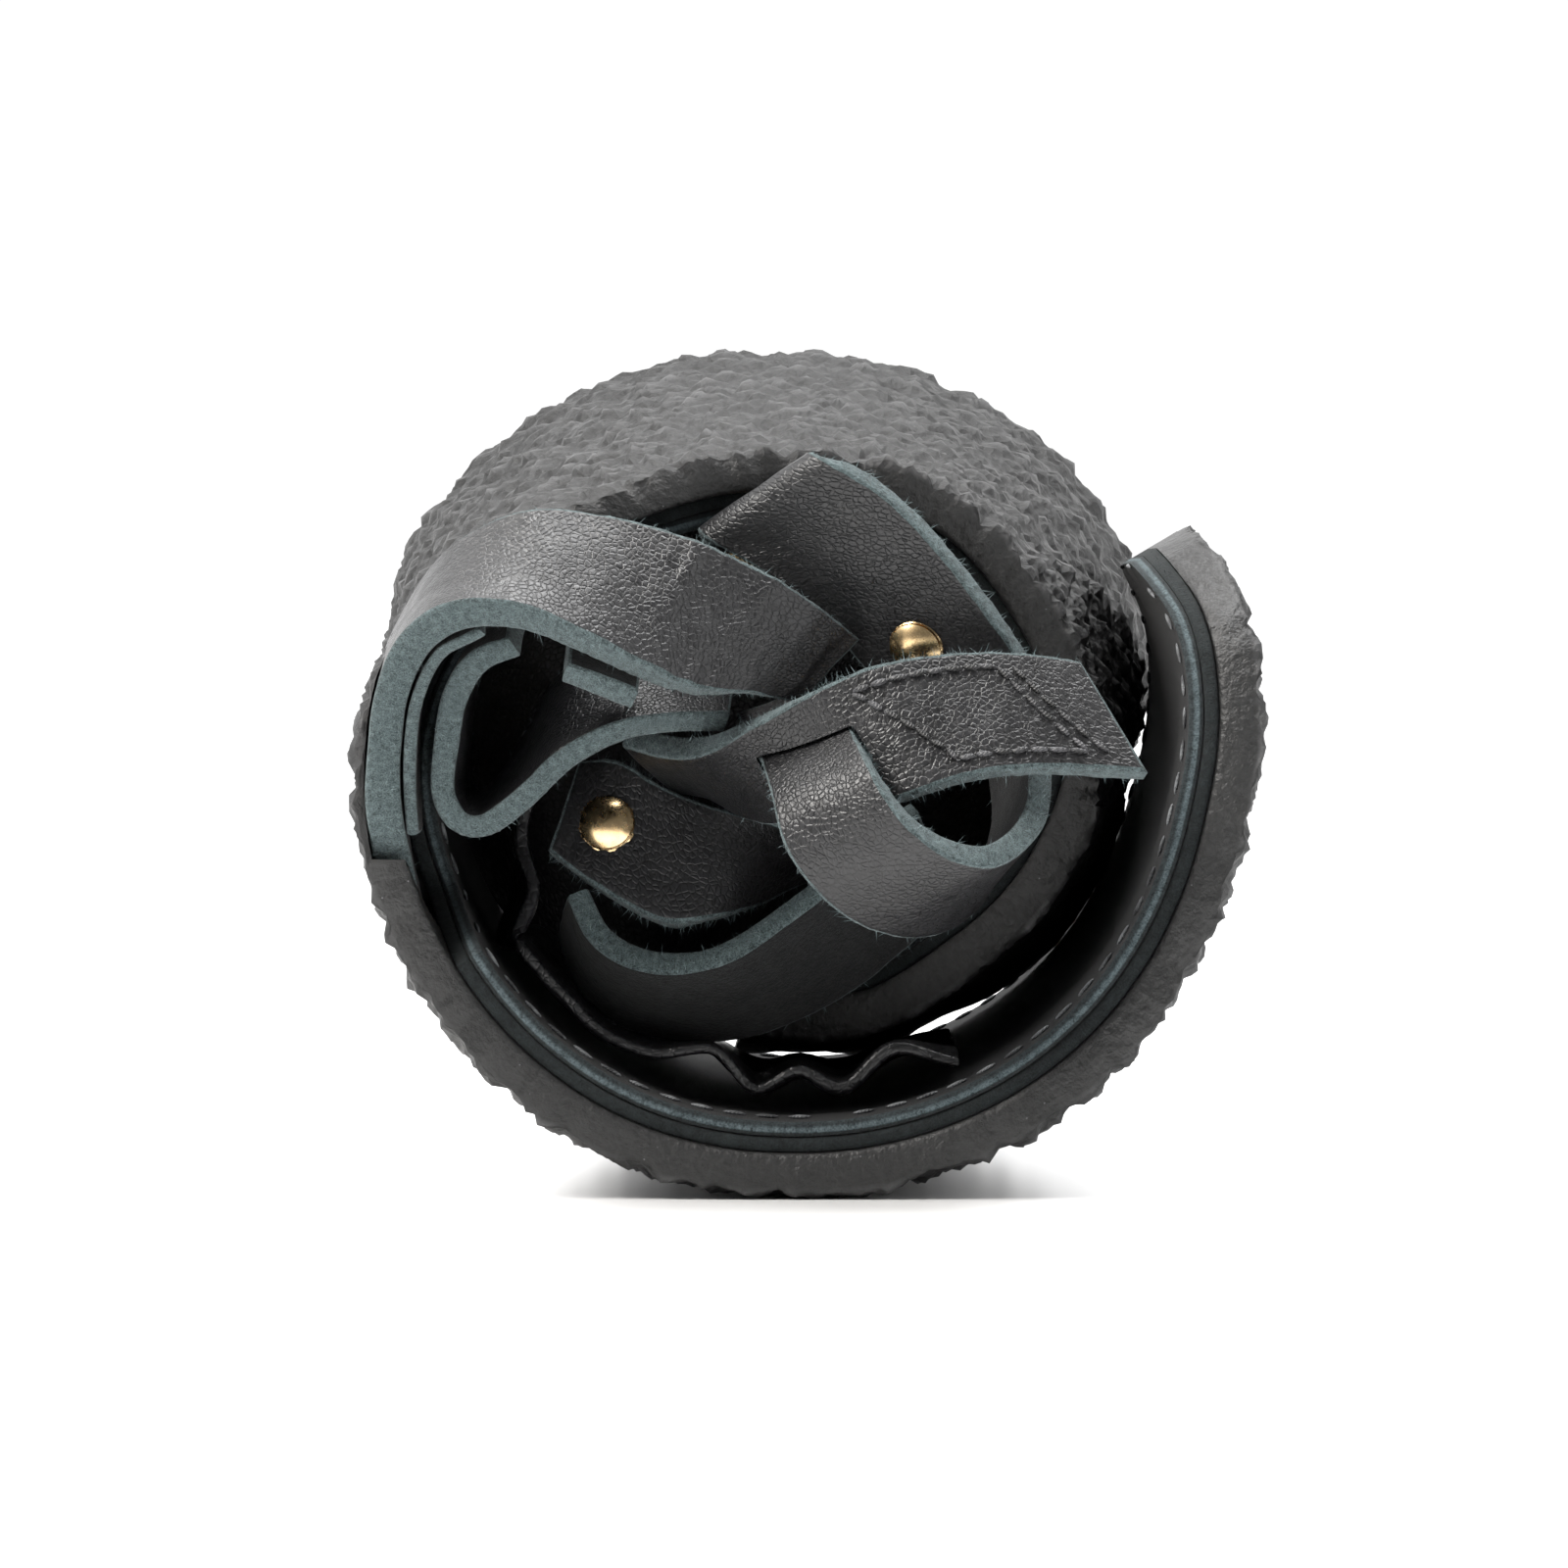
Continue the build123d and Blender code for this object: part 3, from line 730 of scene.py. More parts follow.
THREADED_STRAP = (
    ((-3.4, 8.6, 38.0), (3.8, 5.4, 41.0)),
    ((-2.2, 3.4, 35.8), (5.0, 0.4, 38.6)),
    ((-1.2, -1.8, 33.8), (6.0, -5.2, 36.6)),
    ((-0.4, -6.0, 31.2), (7.2, -9.6, 34.4)),
    ((0.4, -7.6, 28.4), (8.4, -11.0, 32.4)),
    ((2.4, -7.8, 25.5), (10.3, -11.4, 30.3)),
    ((5.4, -6.0, 23.1), (13.1, -11.2, 28.4)),
    ((9.0, -3.0, 21.9), (16.1, -10.0, 27.9)),
    ((12.8, 0.4, 22.3), (18.6, -7.8, 29.2)),
    ((15.8, 3.6, 25.0), (20.2, -4.4, 31.8)),
    ((17.4, 6.4, 29.2), (20.4, -0.6, 35.2)),
    ((17.4, 8.2, 33.6), (19.2, 2.0, 38.6)),
)
CROSSING_STRAP = (
    ((-1.0, 15.0, 44.4), (7.2, 12.4, 48.2)),
    ((-3.8, 13.6, 48.0), (5.2, 10.2, 52.0)),
    ((-5.8, 12.0, 51.0), (3.4, 7.4, 56.2)),
    ((-6.6, 10.0, 52.6), (2.4, 5.0, 58.8)),
    ((-5.6, 8.4, 52.6), (4.0, 3.1, 59.0)),
    ((-3.2, 8.0, 51.4), (7.6, 2.8, 57.0)),
    ((-0.4, 7.8, 49.6), (11.0, 2.8, 54.0)),
    ((3.6, 8.2, 46.2), (14.4, 3.0, 50.0)),
    ((6.6, 8.8, 42.8), (17.0, 3.4, 46.6)),
    ((9.4, 8.8, 39.0), (19.4, 4.4, 43.0)),
    ((11.6, 9.6, 35.4), (21.0, 6.2, 39.6)),
)
RIVETED_STRAP = (
    ((-19.0, 12.8, 27.2), (-16.6, 15.6, 34.4)),
    ((-15.2, 11.8, 24.4), (-13.4, 14.2, 34.6)),
    ((-10.0, 11.0, 21.6), (-10.4, 13.6, 32.8)),
    ((-6.2, 11.6, 21.8), (-7.2, 13.8, 31.2)),
    ((-2.6, 14.6, 22.8), (-3.2, 15.2, 30.0)),
    ((1.4, 19.6, 24.8), (0.4, 17.2, 29.2)),
    ((6.0, 24.0, 26.0), (5.2, 19.0, 29.4)),
)
HEEL_STRAP = (
    ((-16.8, 9.6, 24.2), (-17.8, 19.2, 20.4)),
    ((-15.0, 8.8, 21.0), (-15.8, 18.6, 15.8)),
    ((-11.8, 8.2, 19.0), (-12.0, 18.2, 13.2)),
    ((-7.9, 8.0, 18.6), (-6.4, 18.0, 12.4)),
    ((-3.7, 8.0, 20.0), (-1.2, 18.0, 13.2)),
    ((1.8, 8.4, 23.8), (4.4, 18.2, 15.8)),
    ((6.4, 8.8, 27.6), (9.2, 17.6, 19.4)),
    ((10.6, 9.6, 31.0), (13.4, 16.6, 23.6)),
)
HEEL_COUNTER = (
    ((-28.3, 57.8, 30.0), (-28.3, 57.4, 41.0)),
    ((-26.0, 57.0, 23.8), (-26.0, 56.0, 46.2)),
    ((-20.0, 55.0, 16.0), (-20.0, 54.4, 53.0)),
    ((-12.0, 56.0, 10.6), (-12.0, 56.0, 56.8)),
    ((-8.2, 57.6, 9.6), (-8.2, 57.6, 58.0)),
    ((-4.8, 58.6, 17.6), (-4.8, 58.6, 58.8)),
    ((3.0, 59.6, 16.2), (3.0, 59.6, 59.2)),
    ((10.0, 58.4, 18.5), (10.0, 58.4, 57.2)),
    ((16.0, 56.0, 22.4), (16.0, 56.0, 53.2)),
    ((20.0, 54.0, 27.6), (20.0, 54.0, 48.0)),
)
TAB_END = (
    ((-17.4, -4.6, 42.0), (-17.0, 1.6, 46.4)),
    ((-14.6, -4.6, 41.0), (-14.2, 1.6, 45.4)),
    ((-11.8, -4.0, 40.0), (-11.4, 1.8, 44.4)),
)

# %% Bending a strap


class Ribbon:
    """Smooth ribbon through the rows of a strap."""

    def __init__(self, rows):
        self.table = np.array([(k, *near, *far) for k, (near, far) in enumerate(rows)], float)
        self.last = len(rows) - 1
        fine = np.linspace(0, self.last, 40 * self.last + 1)
        both = on_curve(self.table, fine)
        middle = (both[:, :3] + both[:, 3:]) / 2
        steps = np.linalg.norm(np.diff(middle, axis=0), axis=1)
        self.keys = fine
        self.lengths = np.concatenate(((0,), np.cumsum(steps)))
        self.length = self.lengths[-1]
        self.width = float(np.linalg.norm(both[:, 3:] - both[:, :3], axis=1).mean())

    def normals(self, key):
        """Unit normal of the ribbon at each key."""
        reach = 0.25
        before = on_curve(self.table, np.maximum(key - reach, 0))
        after = on_curve(self.table, np.minimum(key + reach, self.last))
        here = on_curve(self.table, key)
        along = (after[:, :3] + after[:, 3:]) - (before[:, :3] + before[:, 3:])
        normal = np.cross(along, here[:, 3:] - here[:, :3])
        return normal / np.linalg.norm(normal, axis=1)[:, None]

    def place(self, key, across, height):
        """Points of the ribbon in millimetres of the tables."""
        here = on_curve(self.table, key)
        near, far = here[:, :3], here[:, 3:]
        return near + (far - near) * across[:, None] + self.normals(key) * height[:, None]

    def bend(self, flat):
        """Points of a flat blank, in metres, at their places on the ribbon."""
        along, across, height = (np.asarray(flat) / MM).T
        key = np.interp(along, self.lengths, self.keys)
        return (self.place(key, across / self.width, height) - PART_ORIGIN) * MM


print("instep strap", round(Ribbon(INSTEP_STRAP).length, 1), "mm along")

# %% [markdown]
# ### Rubber outsole
#
# The tread is a field of worn lumps with pits between them.  Two cell patterns and a noise
# press the flat rubber inwards, and the surface is lifted back by about half of that, so that
# the roll keeps its size.  The amount pressed is kept for the colour, which paints shade into
# the pits.  The rubber is squeezed thin where the instep strap lies against it.

# %% Tread relief and the pressed place
TREAD_LIFT = 0.75
TREAD_SKIN = 1.2
INNER_RELIEF = 0.3
PRESSED_TURNS = (140, 262)
PRESSED_DEPTH = 16
PRESSED_REACH = 0.6
PRESSED_LEAST = 0.5


def tread_relief(strip, depth):
    """Lumps and pits on the tread, and a scalloped rim."""
    points = places(strip)
    height = points[:, 2] / MM
    near, far = rubber_edges(points[:, 0] / MM)
    to_edge = np.minimum(points[:, 1] / MM - near, far - points[:, 1] / MM)
    tread = weigh(strip, "tread", np.clip(1 - height / TREAD_SKIN, 0, 1))
    before = points[:, 2].copy()
    relief(strip, "VORONOI", 0.0030, 0.0014 * depth, group=tread)
    relief(strip, "VORONOI", 0.0015, 0.0010 * depth, group=tread)
    relief(strip, "CLOUDS", 0.0012, 0.0004 * depth, group=tread, noise_type="HARD_NOISE", noise_depth=2)
    pushed = places(strip)
    pressed = np.clip(((pushed[:, 2] - before) / MM / depth - 0.35) / 1.1, 0, 1)
    pushed[:, 2] -= TREAD_LIFT * depth * MM * np.clip(1 - height / TREAD_SKIN, 0, 1)
    move(strip, pushed)
    # the pressed amount drives the painted shade in the pits of the rubber colour
    attribute = strip.data.attributes.new("pit", "FLOAT", "POINT")
    attribute.data.foreach_set("value", pressed)
    rim = weigh(strip, "rim", np.clip(1 - to_edge / 1.2, 0, 1) * np.clip(1.4 - height / 2.5, 0.15, 1))
    relief(strip, "CLOUDS", 0.0016, 0.0007, direction="Y", group=rim, middle=0.5, noise_depth=1)


def strap_heights():
    """Search tree of the instep strap: where it lies on the tread, and how high."""
    ribbon = Ribbon(INSTEP_STRAP)
    keys, across = np.meshgrid(np.linspace(0, 7, 120), np.linspace(-0.1, 1.1, 60))
    half = np.full(keys.size, DOUBLE_LEATHER / 2 + 0.15)
    points = ribbon.place(keys.ravel(), across.ravel(), half)
    other = ribbon.place(keys.ravel(), across.ravel(), -half)
    centre = ROLL_CENTRE
    radii = [np.hypot(p[:, 0] - centre[0], p[:, 2] - centre[2]) for p in (points, other)]
    outer = np.where((radii[0] > radii[1])[:, None], points, other)
    turn = np.degrees(np.arctan2(centre[2] - outer[:, 2], outer[:, 0] - centre[0])) % 360
    radius = np.maximum(*radii)
    tree = kdtree.KDTree(len(turn))
    for index in range(len(turn)):
        tree.insert((length_at(turn[index]), outer[index, 1], 0), index)
    tree.balance()
    return tree, radius


def press_under_strap(strip):
    """Squeeze the rubber where the instep strap lies on it."""
    tree, strap_radius = strap_heights()
    points = places(strip)
    length, depth, height = (points / MM).T
    turn = turn_at(length)
    first, last = PRESSED_TURNS
    nearby = np.flatnonzero((turn > first) & (turn < last) & (depth < PRESSED_DEPTH) & (height > 0.3))
    table = on_curve(ROLL, turn)
    share = (depth - table[:, 2]) / (table[:, 3] - table[:, 2])
    tread = table[:, 0] + (table[:, 1] - table[:, 0]) * share
    for index in nearby:
        _, which, distance = tree.find((length[index], depth[index], 0))
        if distance < PRESSED_REACH:
            room = tread[index] - strap_radius[which]
            points[index, 2] = min(points[index, 2], max(room, PRESSED_LEAST) * MM)
    move(strip, points)
    print(strip.name, "pressed", len(nearby), "points looked at")


def outsole(name, part, start, end, step, node_name, depth=1.0):
    """One length of the rubber outsole; depth scales its relief."""
    strip = sole_strip(name, (RUBBER_LOOK,) * 3, start, end, step, 0, RUBBER, 0.5, rubber_edges)
    keep_flat(strip)
    tread_relief(strip, depth)
    if part == "core" and start < 200:
        press_under_strap(strip)
    roll_up(strip)
    finish_piece(strip, node_name, 60)
    hang_on(strip, part)


for part, start, end in PARTS:
    if part == "core":
        outsole("outsole_outer_turn", part, start, HIDDEN_TURN, 0.68, "outsole_core")
        outsole("outsole_inner_turn", part, HIDDEN_TURN, end, 1.2, None, INNER_RELIEF)
    else:
        outsole(f"outsole_{part}_rubber", part, start, end, 0.6, f"outsole_{part}")

# %% [markdown]
# ### Leather layers
#
# The insole and the footbed are thin strips with soft rounded edges.  Both edges are raw, so
# they get loose fibres and a slightly uneven line.

# %% Insole and footbed


def leather_layer(name, part, start, end, low, high, look, edge_look, node_name, seed):
    """One length of a leather layer of the sole."""
    strip = sole_strip(name, (look, look, edge_look), start, end, 1.1, low, high, 0.42,
                       leather_edges, 3)
    fibres = fibres_for(strip, in_metres(leather_edges), low * MM, high * MM, 3.0, 0.0007,
                        edge_look, seed)
    keep_flat(strip)
    points = places(strip)
    near, far = leather_edges(points[:, 0] / MM)
    to_edge = np.minimum(points[:, 1] / MM - near, far - points[:, 1] / MM)
    rim = weigh(strip, "rim", np.clip(1 - to_edge / 1.5, 0, 1))
    relief(strip, "CLOUDS", 0.0019, 0.0004, direction="Y", group=rim, middle=0.5, noise_depth=2)
    join(strip, fibres)
    roll_up(strip)
    finish_piece(strip, node_name, 50)
    hang_on(strip, part)


INSOLE_LOW = RUBBER + BOND_GAP
INSOLE_TOP = INSOLE_LOW + INSOLE
FOOTBED_LOW = INSOLE_TOP + BOND_GAP
FOOTBED_TOP = FOOTBED_LOW + FOOTBED
for seed, (part, start, end) in enumerate(PARTS):
    leather_layer(f"insole_{part}_leather", part, start, end, INSOLE_LOW, INSOLE_TOP, SUEDE,
                  INSOLE_EDGE, f"insole_{part}", 20 + seed)
    leather_layer(f"footbed_{part}_suede", part, start, end, FOOTBED_LOW, FOOTBED_TOP, SUEDE,
                  FOOTBED_EDGE, f"footbed_{part}", 40 + seed)

# %% [markdown]
# ### Stitches of the footbed
#
# A row of stitches runs beside each edge.  One stitch is a small stretched ball, and it is
# laid down flat again and again before the row is rolled with the sole.

# %% Rows of stitches
STITCH_INSET = 3.8
STITCH_LONG = 2.3
STITCH_PITCH = 3.2


def stitch_model(long, wide, high):
    """One stitch along X."""
    bpy.ops.object.select_all(action="DESELECT")
    bpy.ops.mesh.primitive_uv_sphere_add(segments=8, ring_count=6, radius=0.5)
    model = bpy.context.active_object
    bpy.ops.object.mode_set(mode="EDIT")
    bpy.ops.mesh.select_all(action="SELECT")
    bpy.ops.transform.rotate(value=pi / 2, orient_axis="Y", center_override=(0, 0, 0))
    bpy.ops.transform.resize(value=(long * MM, wide * MM, high * MM))
    bpy.ops.object.mode_set(mode="OBJECT")
    return model


def footbed_stitches(part, start, end, seed):
    """Both rows of one length of the sole."""
    chance = np.random.default_rng(seed)
    model = stitch_model(STITCH_LONG, 0.5, 0.34)
    frames = []
    first, last = length_at(start), length_at(end)
    low, high = np.ceil(first / STITCH_PITCH), np.floor((last - 0.6 * STITCH_LONG) / STITCH_PITCH)
    for along in np.arange(low, high + 1) * STITCH_PITCH + 0.2:
        near, far = leather_edges(np.array((along, along + 1)))
        for edge, inward in ((near, 1), (far, -1)):
            lean = (edge[1] - edge[0]) + chance.normal(0, 0.05)
            turn = np.array(Matrix.Rotation(np.arctan(lean), 3, "Z"))
            frames.append((turn, np.array((along, edge[0] + inward * (STITCH_INSET + 0.25),
                                           FOOTBED_TOP + 0.15)) * MM))
    row = scatter(f"stitches_{part}", model, frames)
    bpy.data.objects.remove(model)
    keep_flat(row)
    roll_up(row)
    add_materials(row, PALE_THREAD)
    finish_piece(row, f"edge_stitching_{part}", 80)
    hang_on(row, part)


for seed, (part, start, end) in enumerate(PARTS):
    footbed_stitches(part, start, end, 60 + seed)

# %% [markdown]
# ## Straps
#
# Every strap is a blank with a grain side, a flesh side and raw edges.  It is frayed and
# creased flat, then bent along its ribbon.

# %% Making a strap


def strap_blank(name, ribbon, thickness, looks, step=0.65):
    """Flat strap with rounded edges."""
    half = thickness / 2 * MM
    strip = blank(name, looks, 0, ribbon.length * MM, ribbon.width * MM, step * MM, -half, half,
                  0.3 * MM, 2, True)
    keep_flat(strip)
    return strip


def bend_with_fibres(strip, ribbon, thickness, look, seed, per_mm=12.0, longest=0.0012, cutter=None):
    """Bend a strap and its loose fibres, cut its slot if it has one, and join them."""
    half = thickness / 2 * MM
    fibres = fibres_for(strip, lambda along: (along * 0, along * 0 + ribbon.width * MM),
                        -half * 0.85, half * 0.85, per_mm, longest, look, seed)
    for piece in (strip, fibres):
        move(piece, ribbon.bend(places(piece)))
    if cutter:
        cut(strip, cutter)
    join(strip, fibres)


def soften(strip, width, waves, edge=0.0003):
    """Slight waves of the leather and an uneven cut."""
    points = places(strip)
    inside = np.minimum(points[:, 1], width * MM - points[:, 1]) / MM
    rim = weigh(strip, "rim", np.clip(1 - inside / 1.0, 0, 1))
    whole = weigh(strip, "whole", np.ones(len(points)))
    relief(strip, "CLOUDS", 0.007, waves, group=whole, middle=0.5, noise_depth=1)
    relief(strip, "CLOUDS", 0.0011, edge, direction="Y", group=rim, middle=0.5, noise_depth=2)


def creased(strip, first, last, count, depth, seed):
    """Narrow creases across the leather between two lengths, in millimetres."""
    chance = np.random.default_rng(seed)
    points = places(strip)
    along, across = points[:, 0] / MM, points[:, 1] / MM
    lift = np.zeros(len(points))
    for _ in range(count):
        where = chance.uniform(first, last)
        lean = chance.normal(0, 0.16)
        middle, reach = chance.uniform(0, 11), chance.uniform(2.5, 7)
        line = where + lean * (across - middle) + 0.25 * np.sin(across * chance.uniform(0.7, 1.6))
        fade = np.exp(-((across - middle) / reach) ** 2)
        lift -= chance.uniform(0.4, 1) * depth * fade * np.exp(-((along - line) / 0.38) ** 2)
    points[:, 2] += lift * MM
    move(strip, points)


def bent_strap(name, node_name, rows, thickness, seed, grain_up,
               waves=0.0004, creases=None, step=0.65):
    """Strap on its ribbon.  grain_up says on which side of the ribbon the grain lies."""
    ribbon = Ribbon(rows)
    looks = (FLESH, GRAIN, RAW_EDGE) if grain_up else (GRAIN, FLESH, RAW_EDGE)
    strip = strap_blank(name, ribbon, thickness, looks, step)
    soften(strip, ribbon.width, waves)
    if creases:
        creased(strip, *creases, seed)
    bend_with_fibres(strip, ribbon, thickness, FIBRES, seed)
    finish_piece(strip, node_name, 50)
    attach(strip, "core")
    return strip


print("strap tools ready")

# %% [markdown]
# ### The single straps
#
# The instep strap is two leathers thick and wrinkles where it turns over the others.  The
# keeper loop curls inside it, and the crossing, riveted and heel straps lie behind.

# %% Straps without a slot
bent_strap("instep_strap_leather", "instep_strap", INSTEP_STRAP, DOUBLE_LEATHER, 1, False,
           creases=(47, 62, 34, -0.16), step=0.4)
bent_strap("keeper_loop_leather", "keeper_loop", KEEPER_LOOP, STRAP_LEATHER, 2, False)
bent_strap("threaded_strap_leather", "threaded_strap", THREADED_STRAP, STRAP_LEATHER, 3, False)
bent_strap("crossing_strap_leather", "crossing_strap", CROSSING_STRAP, STRAP_LEATHER, 4, False)
bent_strap("riveted_strap_leather", "riveted_strap", RIVETED_STRAP, STRAP_LEATHER, 5, False)
bent_strap("heel_strap_leather", "heel_strap", HEEL_STRAP, STRAP_LEATHER, 6, False)
bent_strap("tab_end_leather", "tab_end", TAB_END, STRAP_LEATHER, 7, True)
bent_strap("heel_counter_leather", "heel_counter", HEEL_COUNTER, STRAP_LEATHER, 9, False)

# %% [markdown]
# ### The slotted strap
#
# The threaded strap passes through a slit in this one.  The slit is cut with a Boolean after
# bending, by a thicker copy of the threaded strap, and its walls are raw leather too.

# %% Cutting the slot
SLOT_CLEARANCE = 0.3
SLOT_ROUNDING = 0.3
SLOT_WIDENING = 1.06


def slot_cutter():
    """Thick copy of the threaded strap where it goes through."""
    ribbon = Ribbon(THREADED_STRAP[:6])
    half = (STRAP_LEATHER / 2 + SLOT_CLEARANCE) * MM
    cutter = blank("slot_cutter", (RAW_EDGE,) * 3, 0, ribbon.length * MM, ribbon.width * MM,
                   1.2 * MM, -half, half, SLOT_ROUNDING * MM, 2, False)
    points = places(cutter)
    points[:, 1] = (points[:, 1] - ribbon.width * MM / 2) * SLOT_WIDENING + ribbon.width * MM / 2
    move(cutter, ribbon.bend(points))
    only(cutter)
    bpy.ops.object.mode_set(mode="EDIT")
    bpy.ops.mesh.select_all(action="SELECT")
    bpy.ops.mesh.normals_make_consistent(inside=False)
    bpy.ops.object.mode_set(mode="OBJECT")
    return cutter


def cut(piece, cutter):
    """Boolean cut, after which new points get the flat place of their nearest old point."""
    old = places(piece)
    flat = np.empty(len(old) * 3)
    piece.data.attributes["flat"].data.foreach_get("vector", flat)
    tree = kdtree.KDTree(len(old))
    for index, point in enumerate(old):
        tree.insert(point, index)
    tree.balance()
    modify(piece, "BOOLEAN", object=cutter, operation="DIFFERENCE", solver="EXACT")
    bpy.data.objects.remove(cutter)
    nearest = [tree.find(vertex.co)[1] for vertex in piece.data.vertices]
    flat = flat.reshape(-1, 3)[nearest]
    piece.data.attributes["flat"].data.foreach_set("vector", flat.ravel())
    print(piece.name, "cut,", len(piece.data.polygons), "faces")


SLOTTED = Ribbon(SLOTTED_STRAP)
slotted = strap_blank("slotted_strap_leather", SLOTTED, STRAP_LEATHER, (FLESH, GRAIN, RAW_EDGE))
soften(slotted, SLOTTED.width, 0.0004)
bend_with_fibres(slotted, SLOTTED, STRAP_LEATHER, FIBRES, 8, cutter=slot_cutter())
finish_piece(slotted, "slotted_strap", 50)
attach(slotted, "core")

# %% [markdown]
# ### Seam of the slotted strap
#
# The folded end is held by four lines of stitches, doubled at the slanting end.

# %% Seam stitches
SEAM_CORNERS = ((0.58, 0.14), (0.84, 0.14), (0.94, 0.86), (0.74, 0.86))
DOUBLED_LINE = ((0.868, 0.14), (0.965, 0.86))


def seam_frames(start, end, side, pitch, seed):
    """Places of the stitches on one line of the seam."""
    chance = np.random.default_rng(seed)
    flat = [np.array((along * SLOTTED.last, across)) for along, across in (start, end)]
    lengths = [np.interp(key[0], SLOTTED.keys, SLOTTED.lengths) for key in flat]
    a, b = (np.array((length, key[1] * SLOTTED.width, 0)) for length, key in zip(lengths, flat))
    count = max(2, round(np.linalg.norm(b - a) / pitch))
    angle = np.arctan2(b[1] - a[1], b[0] - a[0])
    frames = []
    for share in (np.arange(count) + 0.5) / count:
        turn = np.array(Matrix.Rotation(angle + chance.normal(0, 0.08), 3, "Z"))
        place = a + (b - a) * share + (0, 0, side * (STRAP_LEATHER / 2 + 0.1))
        frames.append((turn, place * MM))
    return frames


def seam(side):
    """All stitches of the seam, bent with the strap."""
    model = stitch_model(1.3, 0.5, 0.5)
    corners = SEAM_CORNERS + SEAM_CORNERS[:1]
    frames = []
    for seed, (start, end) in enumerate(zip(corners, corners[1:])):
        frames += seam_frames(start, end, side, 1.45, seed)
    frames += seam_frames(*DOUBLED_LINE, side, 1.45, 9)
    thread = scatter("slotted_strap_stitches", model, frames)
    bpy.data.objects.remove(model)
    keep_flat(thread)
    move(thread, SLOTTED.bend(places(thread)))
    add_materials(thread, DARK_THREAD)
    finish_piece(thread, "slotted_strap_seam", 80)
    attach(thread, "core")


seam(-1)

# %% [markdown]
# ### Linings
#
# The instep strap is lined with thin leather, and a soft lining has puckered on the footbed
# inside the mouth of the roll.

# %% Lining pieces
LINER_ROWS = ((66, 0.4, 0.4), (76, 3.0, 1.2), (86, 0.8, 0.6), (94, 2.6, 1.0), (101, 0.6, 0.5),
              (110, 3.6, 1.4), (120, 1.4, 0.8), (132, 1.2, 0.8), (146, 1.2, 0.9))
LINER_RISE = (
    ((-21.6, 9.6, 20.8), (-23.4, 26.0, 19.6)),
    ((-20.4, 12.0, 24.4), (-22.4, 26.0, 24.4)),
    ((-21.2, 13.6, 28.6), (-23.0, 25.0, 29.2)),
    ((-20.2, 14.6, 33.2), (-22.0, 24.0, 33.8)),
)
LINER_DEPTHS = (8.0, 48.0)
LINER_BASE = FOOTBED_TOP + LINING_LEATHER / 2 + 0.7


def liner_rows():
    """Rows of the puckered lining, from the roll and the part that stands up."""
    rows = []
    for turn, *lifts in LINER_ROWS:
        ends = [rolled([(length_at(turn) * MM, depth * MM, (LINER_BASE + lift) * MM)])[0] / MM
                + PART_ORIGIN for depth, lift in zip(LINER_DEPTHS, lifts)]
        rows.append(tuple(tuple(end) for end in ends))
    return tuple(rows) + LINER_RISE


def lining(name, node_name, rows, thickness, seed, looks, waves, shift=0.0):
    """Thin lining on its ribbon, moved off it by a shift."""
    ribbon = Ribbon(rows)
    strip = strap_blank(name, ribbon, thickness, looks, 0.8)
    soften(strip, ribbon.width, waves, 0.0003)
    move(strip, places(strip) + (0, 0, shift * MM))
    bend_with_fibres(strip, ribbon, thickness, looks[2], seed, 2.0, 0.0006)
    finish_piece(strip, node_name, 50)
    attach(strip, "core")


lining("footbed_liner_leather", "footbed_liner", liner_rows(), LINING_LEATHER, 11,
       (LINING_GRAIN,) * 3, 0.0011)
lining("instep_lining_leather", "instep_strap_lining", INSTEP_STRAP[1:6], LINING_LEATHER, 12,
       (FLESH, FLESH, RAW_EDGE), 0.0002, -DOUBLE_LEATHER / 2 - 0.15 - LINING_LEATHER / 2)

# %% [markdown]
# ## Rivets
#
# Each rivet shows a low gold dome with a thin rim.  A sphere is cut with a plane to leave its
# cap, the cut is extruded for the rim, and its edge is bevelled.  Posts and back caps keep
# their CAD shape and get the same gold.

# %% Domes of the rivets
RIVETS = ((RIVETED_STRAP, 0.17, 0.5, -1), (CROSSING_STRAP, 0.80, 0.42, -1),
          (CROSSING_STRAP, 0.175, 0.32, 1))
CAP_RADIUS = 2.25
CAP_HEIGHT = 1.2
RIM_HEIGHT = 0.3


def rivet_dome():
    """Cap of a sphere on a short rim, its foot at the origin."""
    dome = CAP_HEIGHT - RIM_HEIGHT
    radius = (CAP_RADIUS ** 2 + dome ** 2) / (2 * dome)
    bpy.ops.object.select_all(action="DESELECT")
    bpy.ops.mesh.primitive_uv_sphere_add(segments=64, ring_count=96, radius=radius * MM,
                                         location=(0, 0, 0))
    cap = bpy.context.active_object
    bpy.ops.object.mode_set(mode="EDIT")
    bpy.ops.mesh.select_all(action="SELECT")
    bpy.ops.transform.translate(value=(0, 0, (CAP_HEIGHT - radius) * MM))
    bpy.ops.mesh.bisect(plane_co=(0, 0, RIM_HEIGHT * MM), plane_no=(0, 0, 1), use_fill=True,
                        clear_inner=True)
    bpy.ops.mesh.extrude_region_move(TRANSFORM_OT_translate={"value": (0, 0, -RIM_HEIGHT * MM)})
    bpy.ops.mesh.select_all(action="SELECT")
    bpy.ops.mesh.normals_make_consistent(inside=False)
    bpy.ops.object.mode_set(mode="OBJECT")
    modify(cap, "BEVEL", width=0.09 * MM, segments=3, limit_method="ANGLE", angle_limit=radians(35))
    return cap


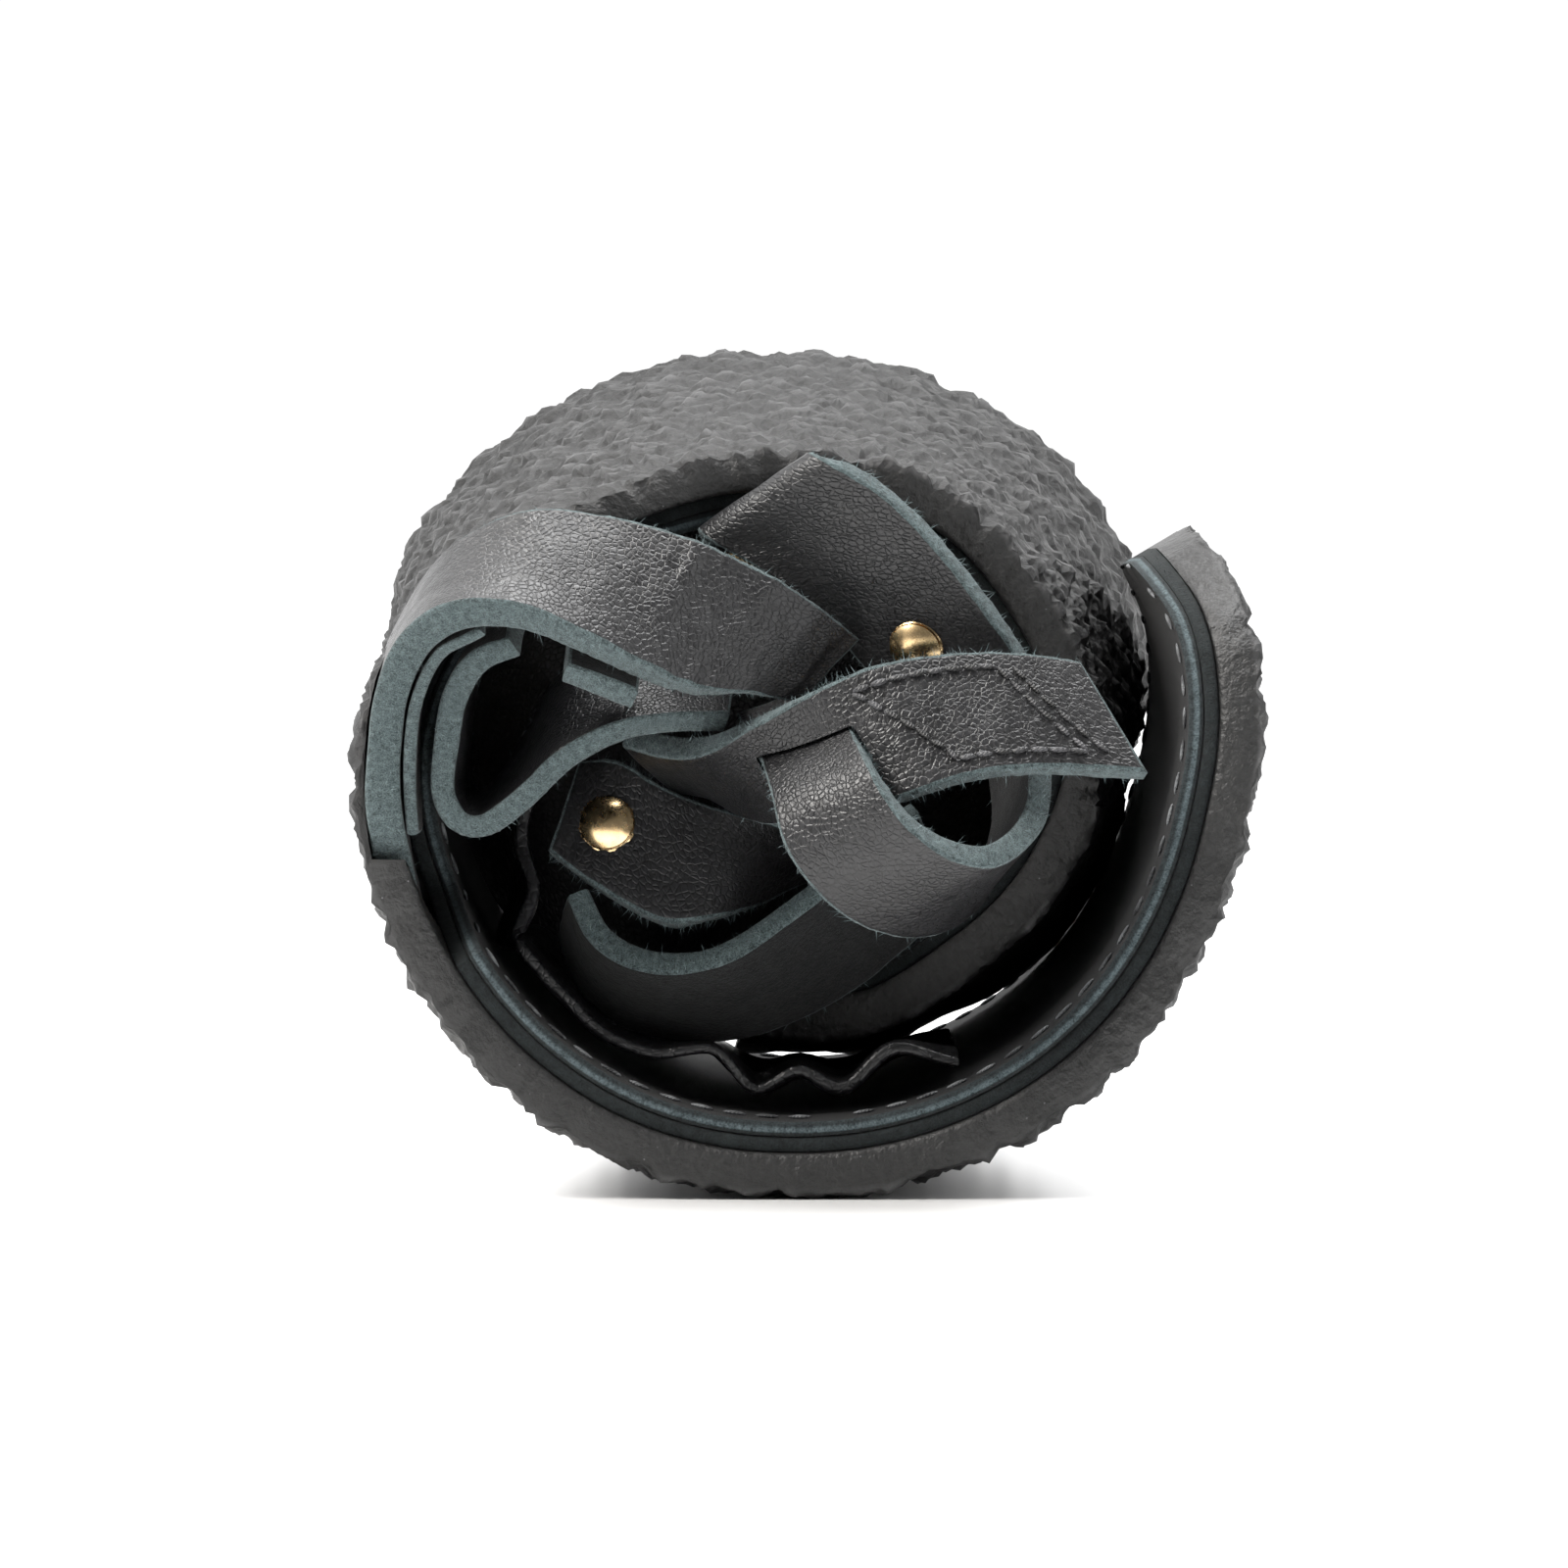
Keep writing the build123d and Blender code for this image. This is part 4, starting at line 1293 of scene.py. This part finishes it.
def rivet_frame(rows, along, across, side):
    """Turn and place of a rivet on its strap."""
    ribbon = Ribbon(rows)
    key = np.array((along * ribbon.last,))
    normal = Vector(ribbon.normals(key)[0])
    if normal.y * side < 0:
        normal = -normal
    place = ribbon.place(key, np.array((across,)), np.zeros(1))[0]
    foot = place + np.array(normal) * (STRAP_LEATHER / 2 + BOND_GAP)
    return np.array(normal.to_track_quat("Z", "Y").to_matrix()), (foot - PART_ORIGIN) * MM


dome = rivet_dome()
caps = scatter("rivet_domes", dome, [rivet_frame(*rivet) for rivet in RIVETS])
bpy.data.objects.remove(dome)
add_materials(caps, GOLD)
finish_piece(caps, "rivet_caps", 35)
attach(caps, "core")
for name in ("rivet_posts", "rivet_back_caps"):
    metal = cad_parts[name]
    metal.data.materials.clear()
    metal.data.materials.append(GOLD)

# %% [markdown]
# ## Stage, light and camera
#
# A plain white studio: a large pale floor, an even white surround that is brighter behind the
# object than in front of it, and one big soft lamp above on the left.

# %% Floor


def make_floor():
    """Pale, slightly glossy floor."""
    made = material("floor_white", Base_Color=(0.93, 0.93, 0.93, 1), Roughness=0.15,
                    Specular_IOR_Level=0.2)
    place = node(made, "TexCoord", {}).outputs["Object"]
    connect(made, Roughness=ramp(made, noise(made, place, 0.2, 2), (0.3, 0.14), (0.7, 0.17)))
    bpy.ops.object.select_all(action="DESELECT")
    bpy.ops.mesh.primitive_plane_add(size=30, location=(0, 0, 0))
    floor = bpy.context.active_object
    floor.name = "floor"
    floor.data.materials.append(made)


make_floor()

# %% Light


def make_world():
    """White surround, dimmer on the camera's side of the object."""
    world = bpy.data.worlds.new("studio")
    bpy.context.scene.world = world
    world.use_nodes = True
    nodes, links = world.node_tree.nodes, world.node_tree.links
    direction = nodes.new("ShaderNodeTexCoord")
    split = nodes.new("ShaderNodeSeparateXYZ")
    links.new(direction.outputs["Generated"], split.inputs[0])
    depth = nodes.new("ShaderNodeMapRange")
    for socket, value in (("From Min", -0.8), ("From Max", 0.6), ("To Min", 0.14), ("To Max", 1.8)):
        depth.inputs[socket].default_value = value
    links.new(split.outputs["Y"], depth.inputs["Value"])
    path = nodes.new("ShaderNodeLightPath")
    seen = nodes.new("ShaderNodeMix")
    links.new(path.outputs["Is Camera Ray"], seen.inputs[0])
    links.new(depth.outputs[0], seen.inputs[2])
    seen.inputs[3].default_value = 1.05
    links.new(seen.outputs[0], nodes["Background"].inputs["Strength"])
    nodes["Background"].inputs["Color"].default_value = (1, 1, 1, 1)


def lamp(name, place, target, size, power, colour=(1, 1, 1)):
    """Square soft lamp that looks at a target."""
    data = bpy.data.lights.new(name, "AREA")
    data.size = size
    data.energy = power
    data.color = colour
    light = bpy.data.objects.new(name, data)
    bpy.context.scene.collection.objects.link(light)
    light.location = place
    light.rotation_euler = (Vector(target) - Vector(place)).to_track_quat("-Z", "Y").to_euler()


make_world()
MIDDLE = (0, -0.03, 0.035)
lamp("softbox_left", (-0.40, -0.20, 0.50), MIDDLE, 0.28, 6.5, (1.0, 0.97, 0.93))
lamp("softbox_top", (0.08, 0.08, 0.75), MIDDLE, 0.5, 8.0)
lamp("softbox_right", (0.55, -0.45, 0.25), MIDDLE, 0.3, 0.8)

# %% Camera
CAMERA_TARGET = np.array((-0.003, -0.046, 0.0332))
CAMERA_DISTANCE = 0.65
CAMERA_LIFT = radians(1.4)
data = bpy.data.cameras.new("camera")
data.lens = 187.2
data.sensor_width = 36
data.clip_start = 0.01
camera = bpy.data.objects.new("camera", data)
bpy.context.scene.collection.objects.link(camera)
away = np.array((0, -cos(CAMERA_LIFT), sin(CAMERA_LIFT)))
camera.location = CAMERA_TARGET + away * CAMERA_DISTANCE
camera.rotation_euler = Vector(-away).to_track_quat("-Z", "Y").to_euler()
bpy.context.scene.camera = camera
bpy.context.scene.view_settings.view_transform = "Standard"
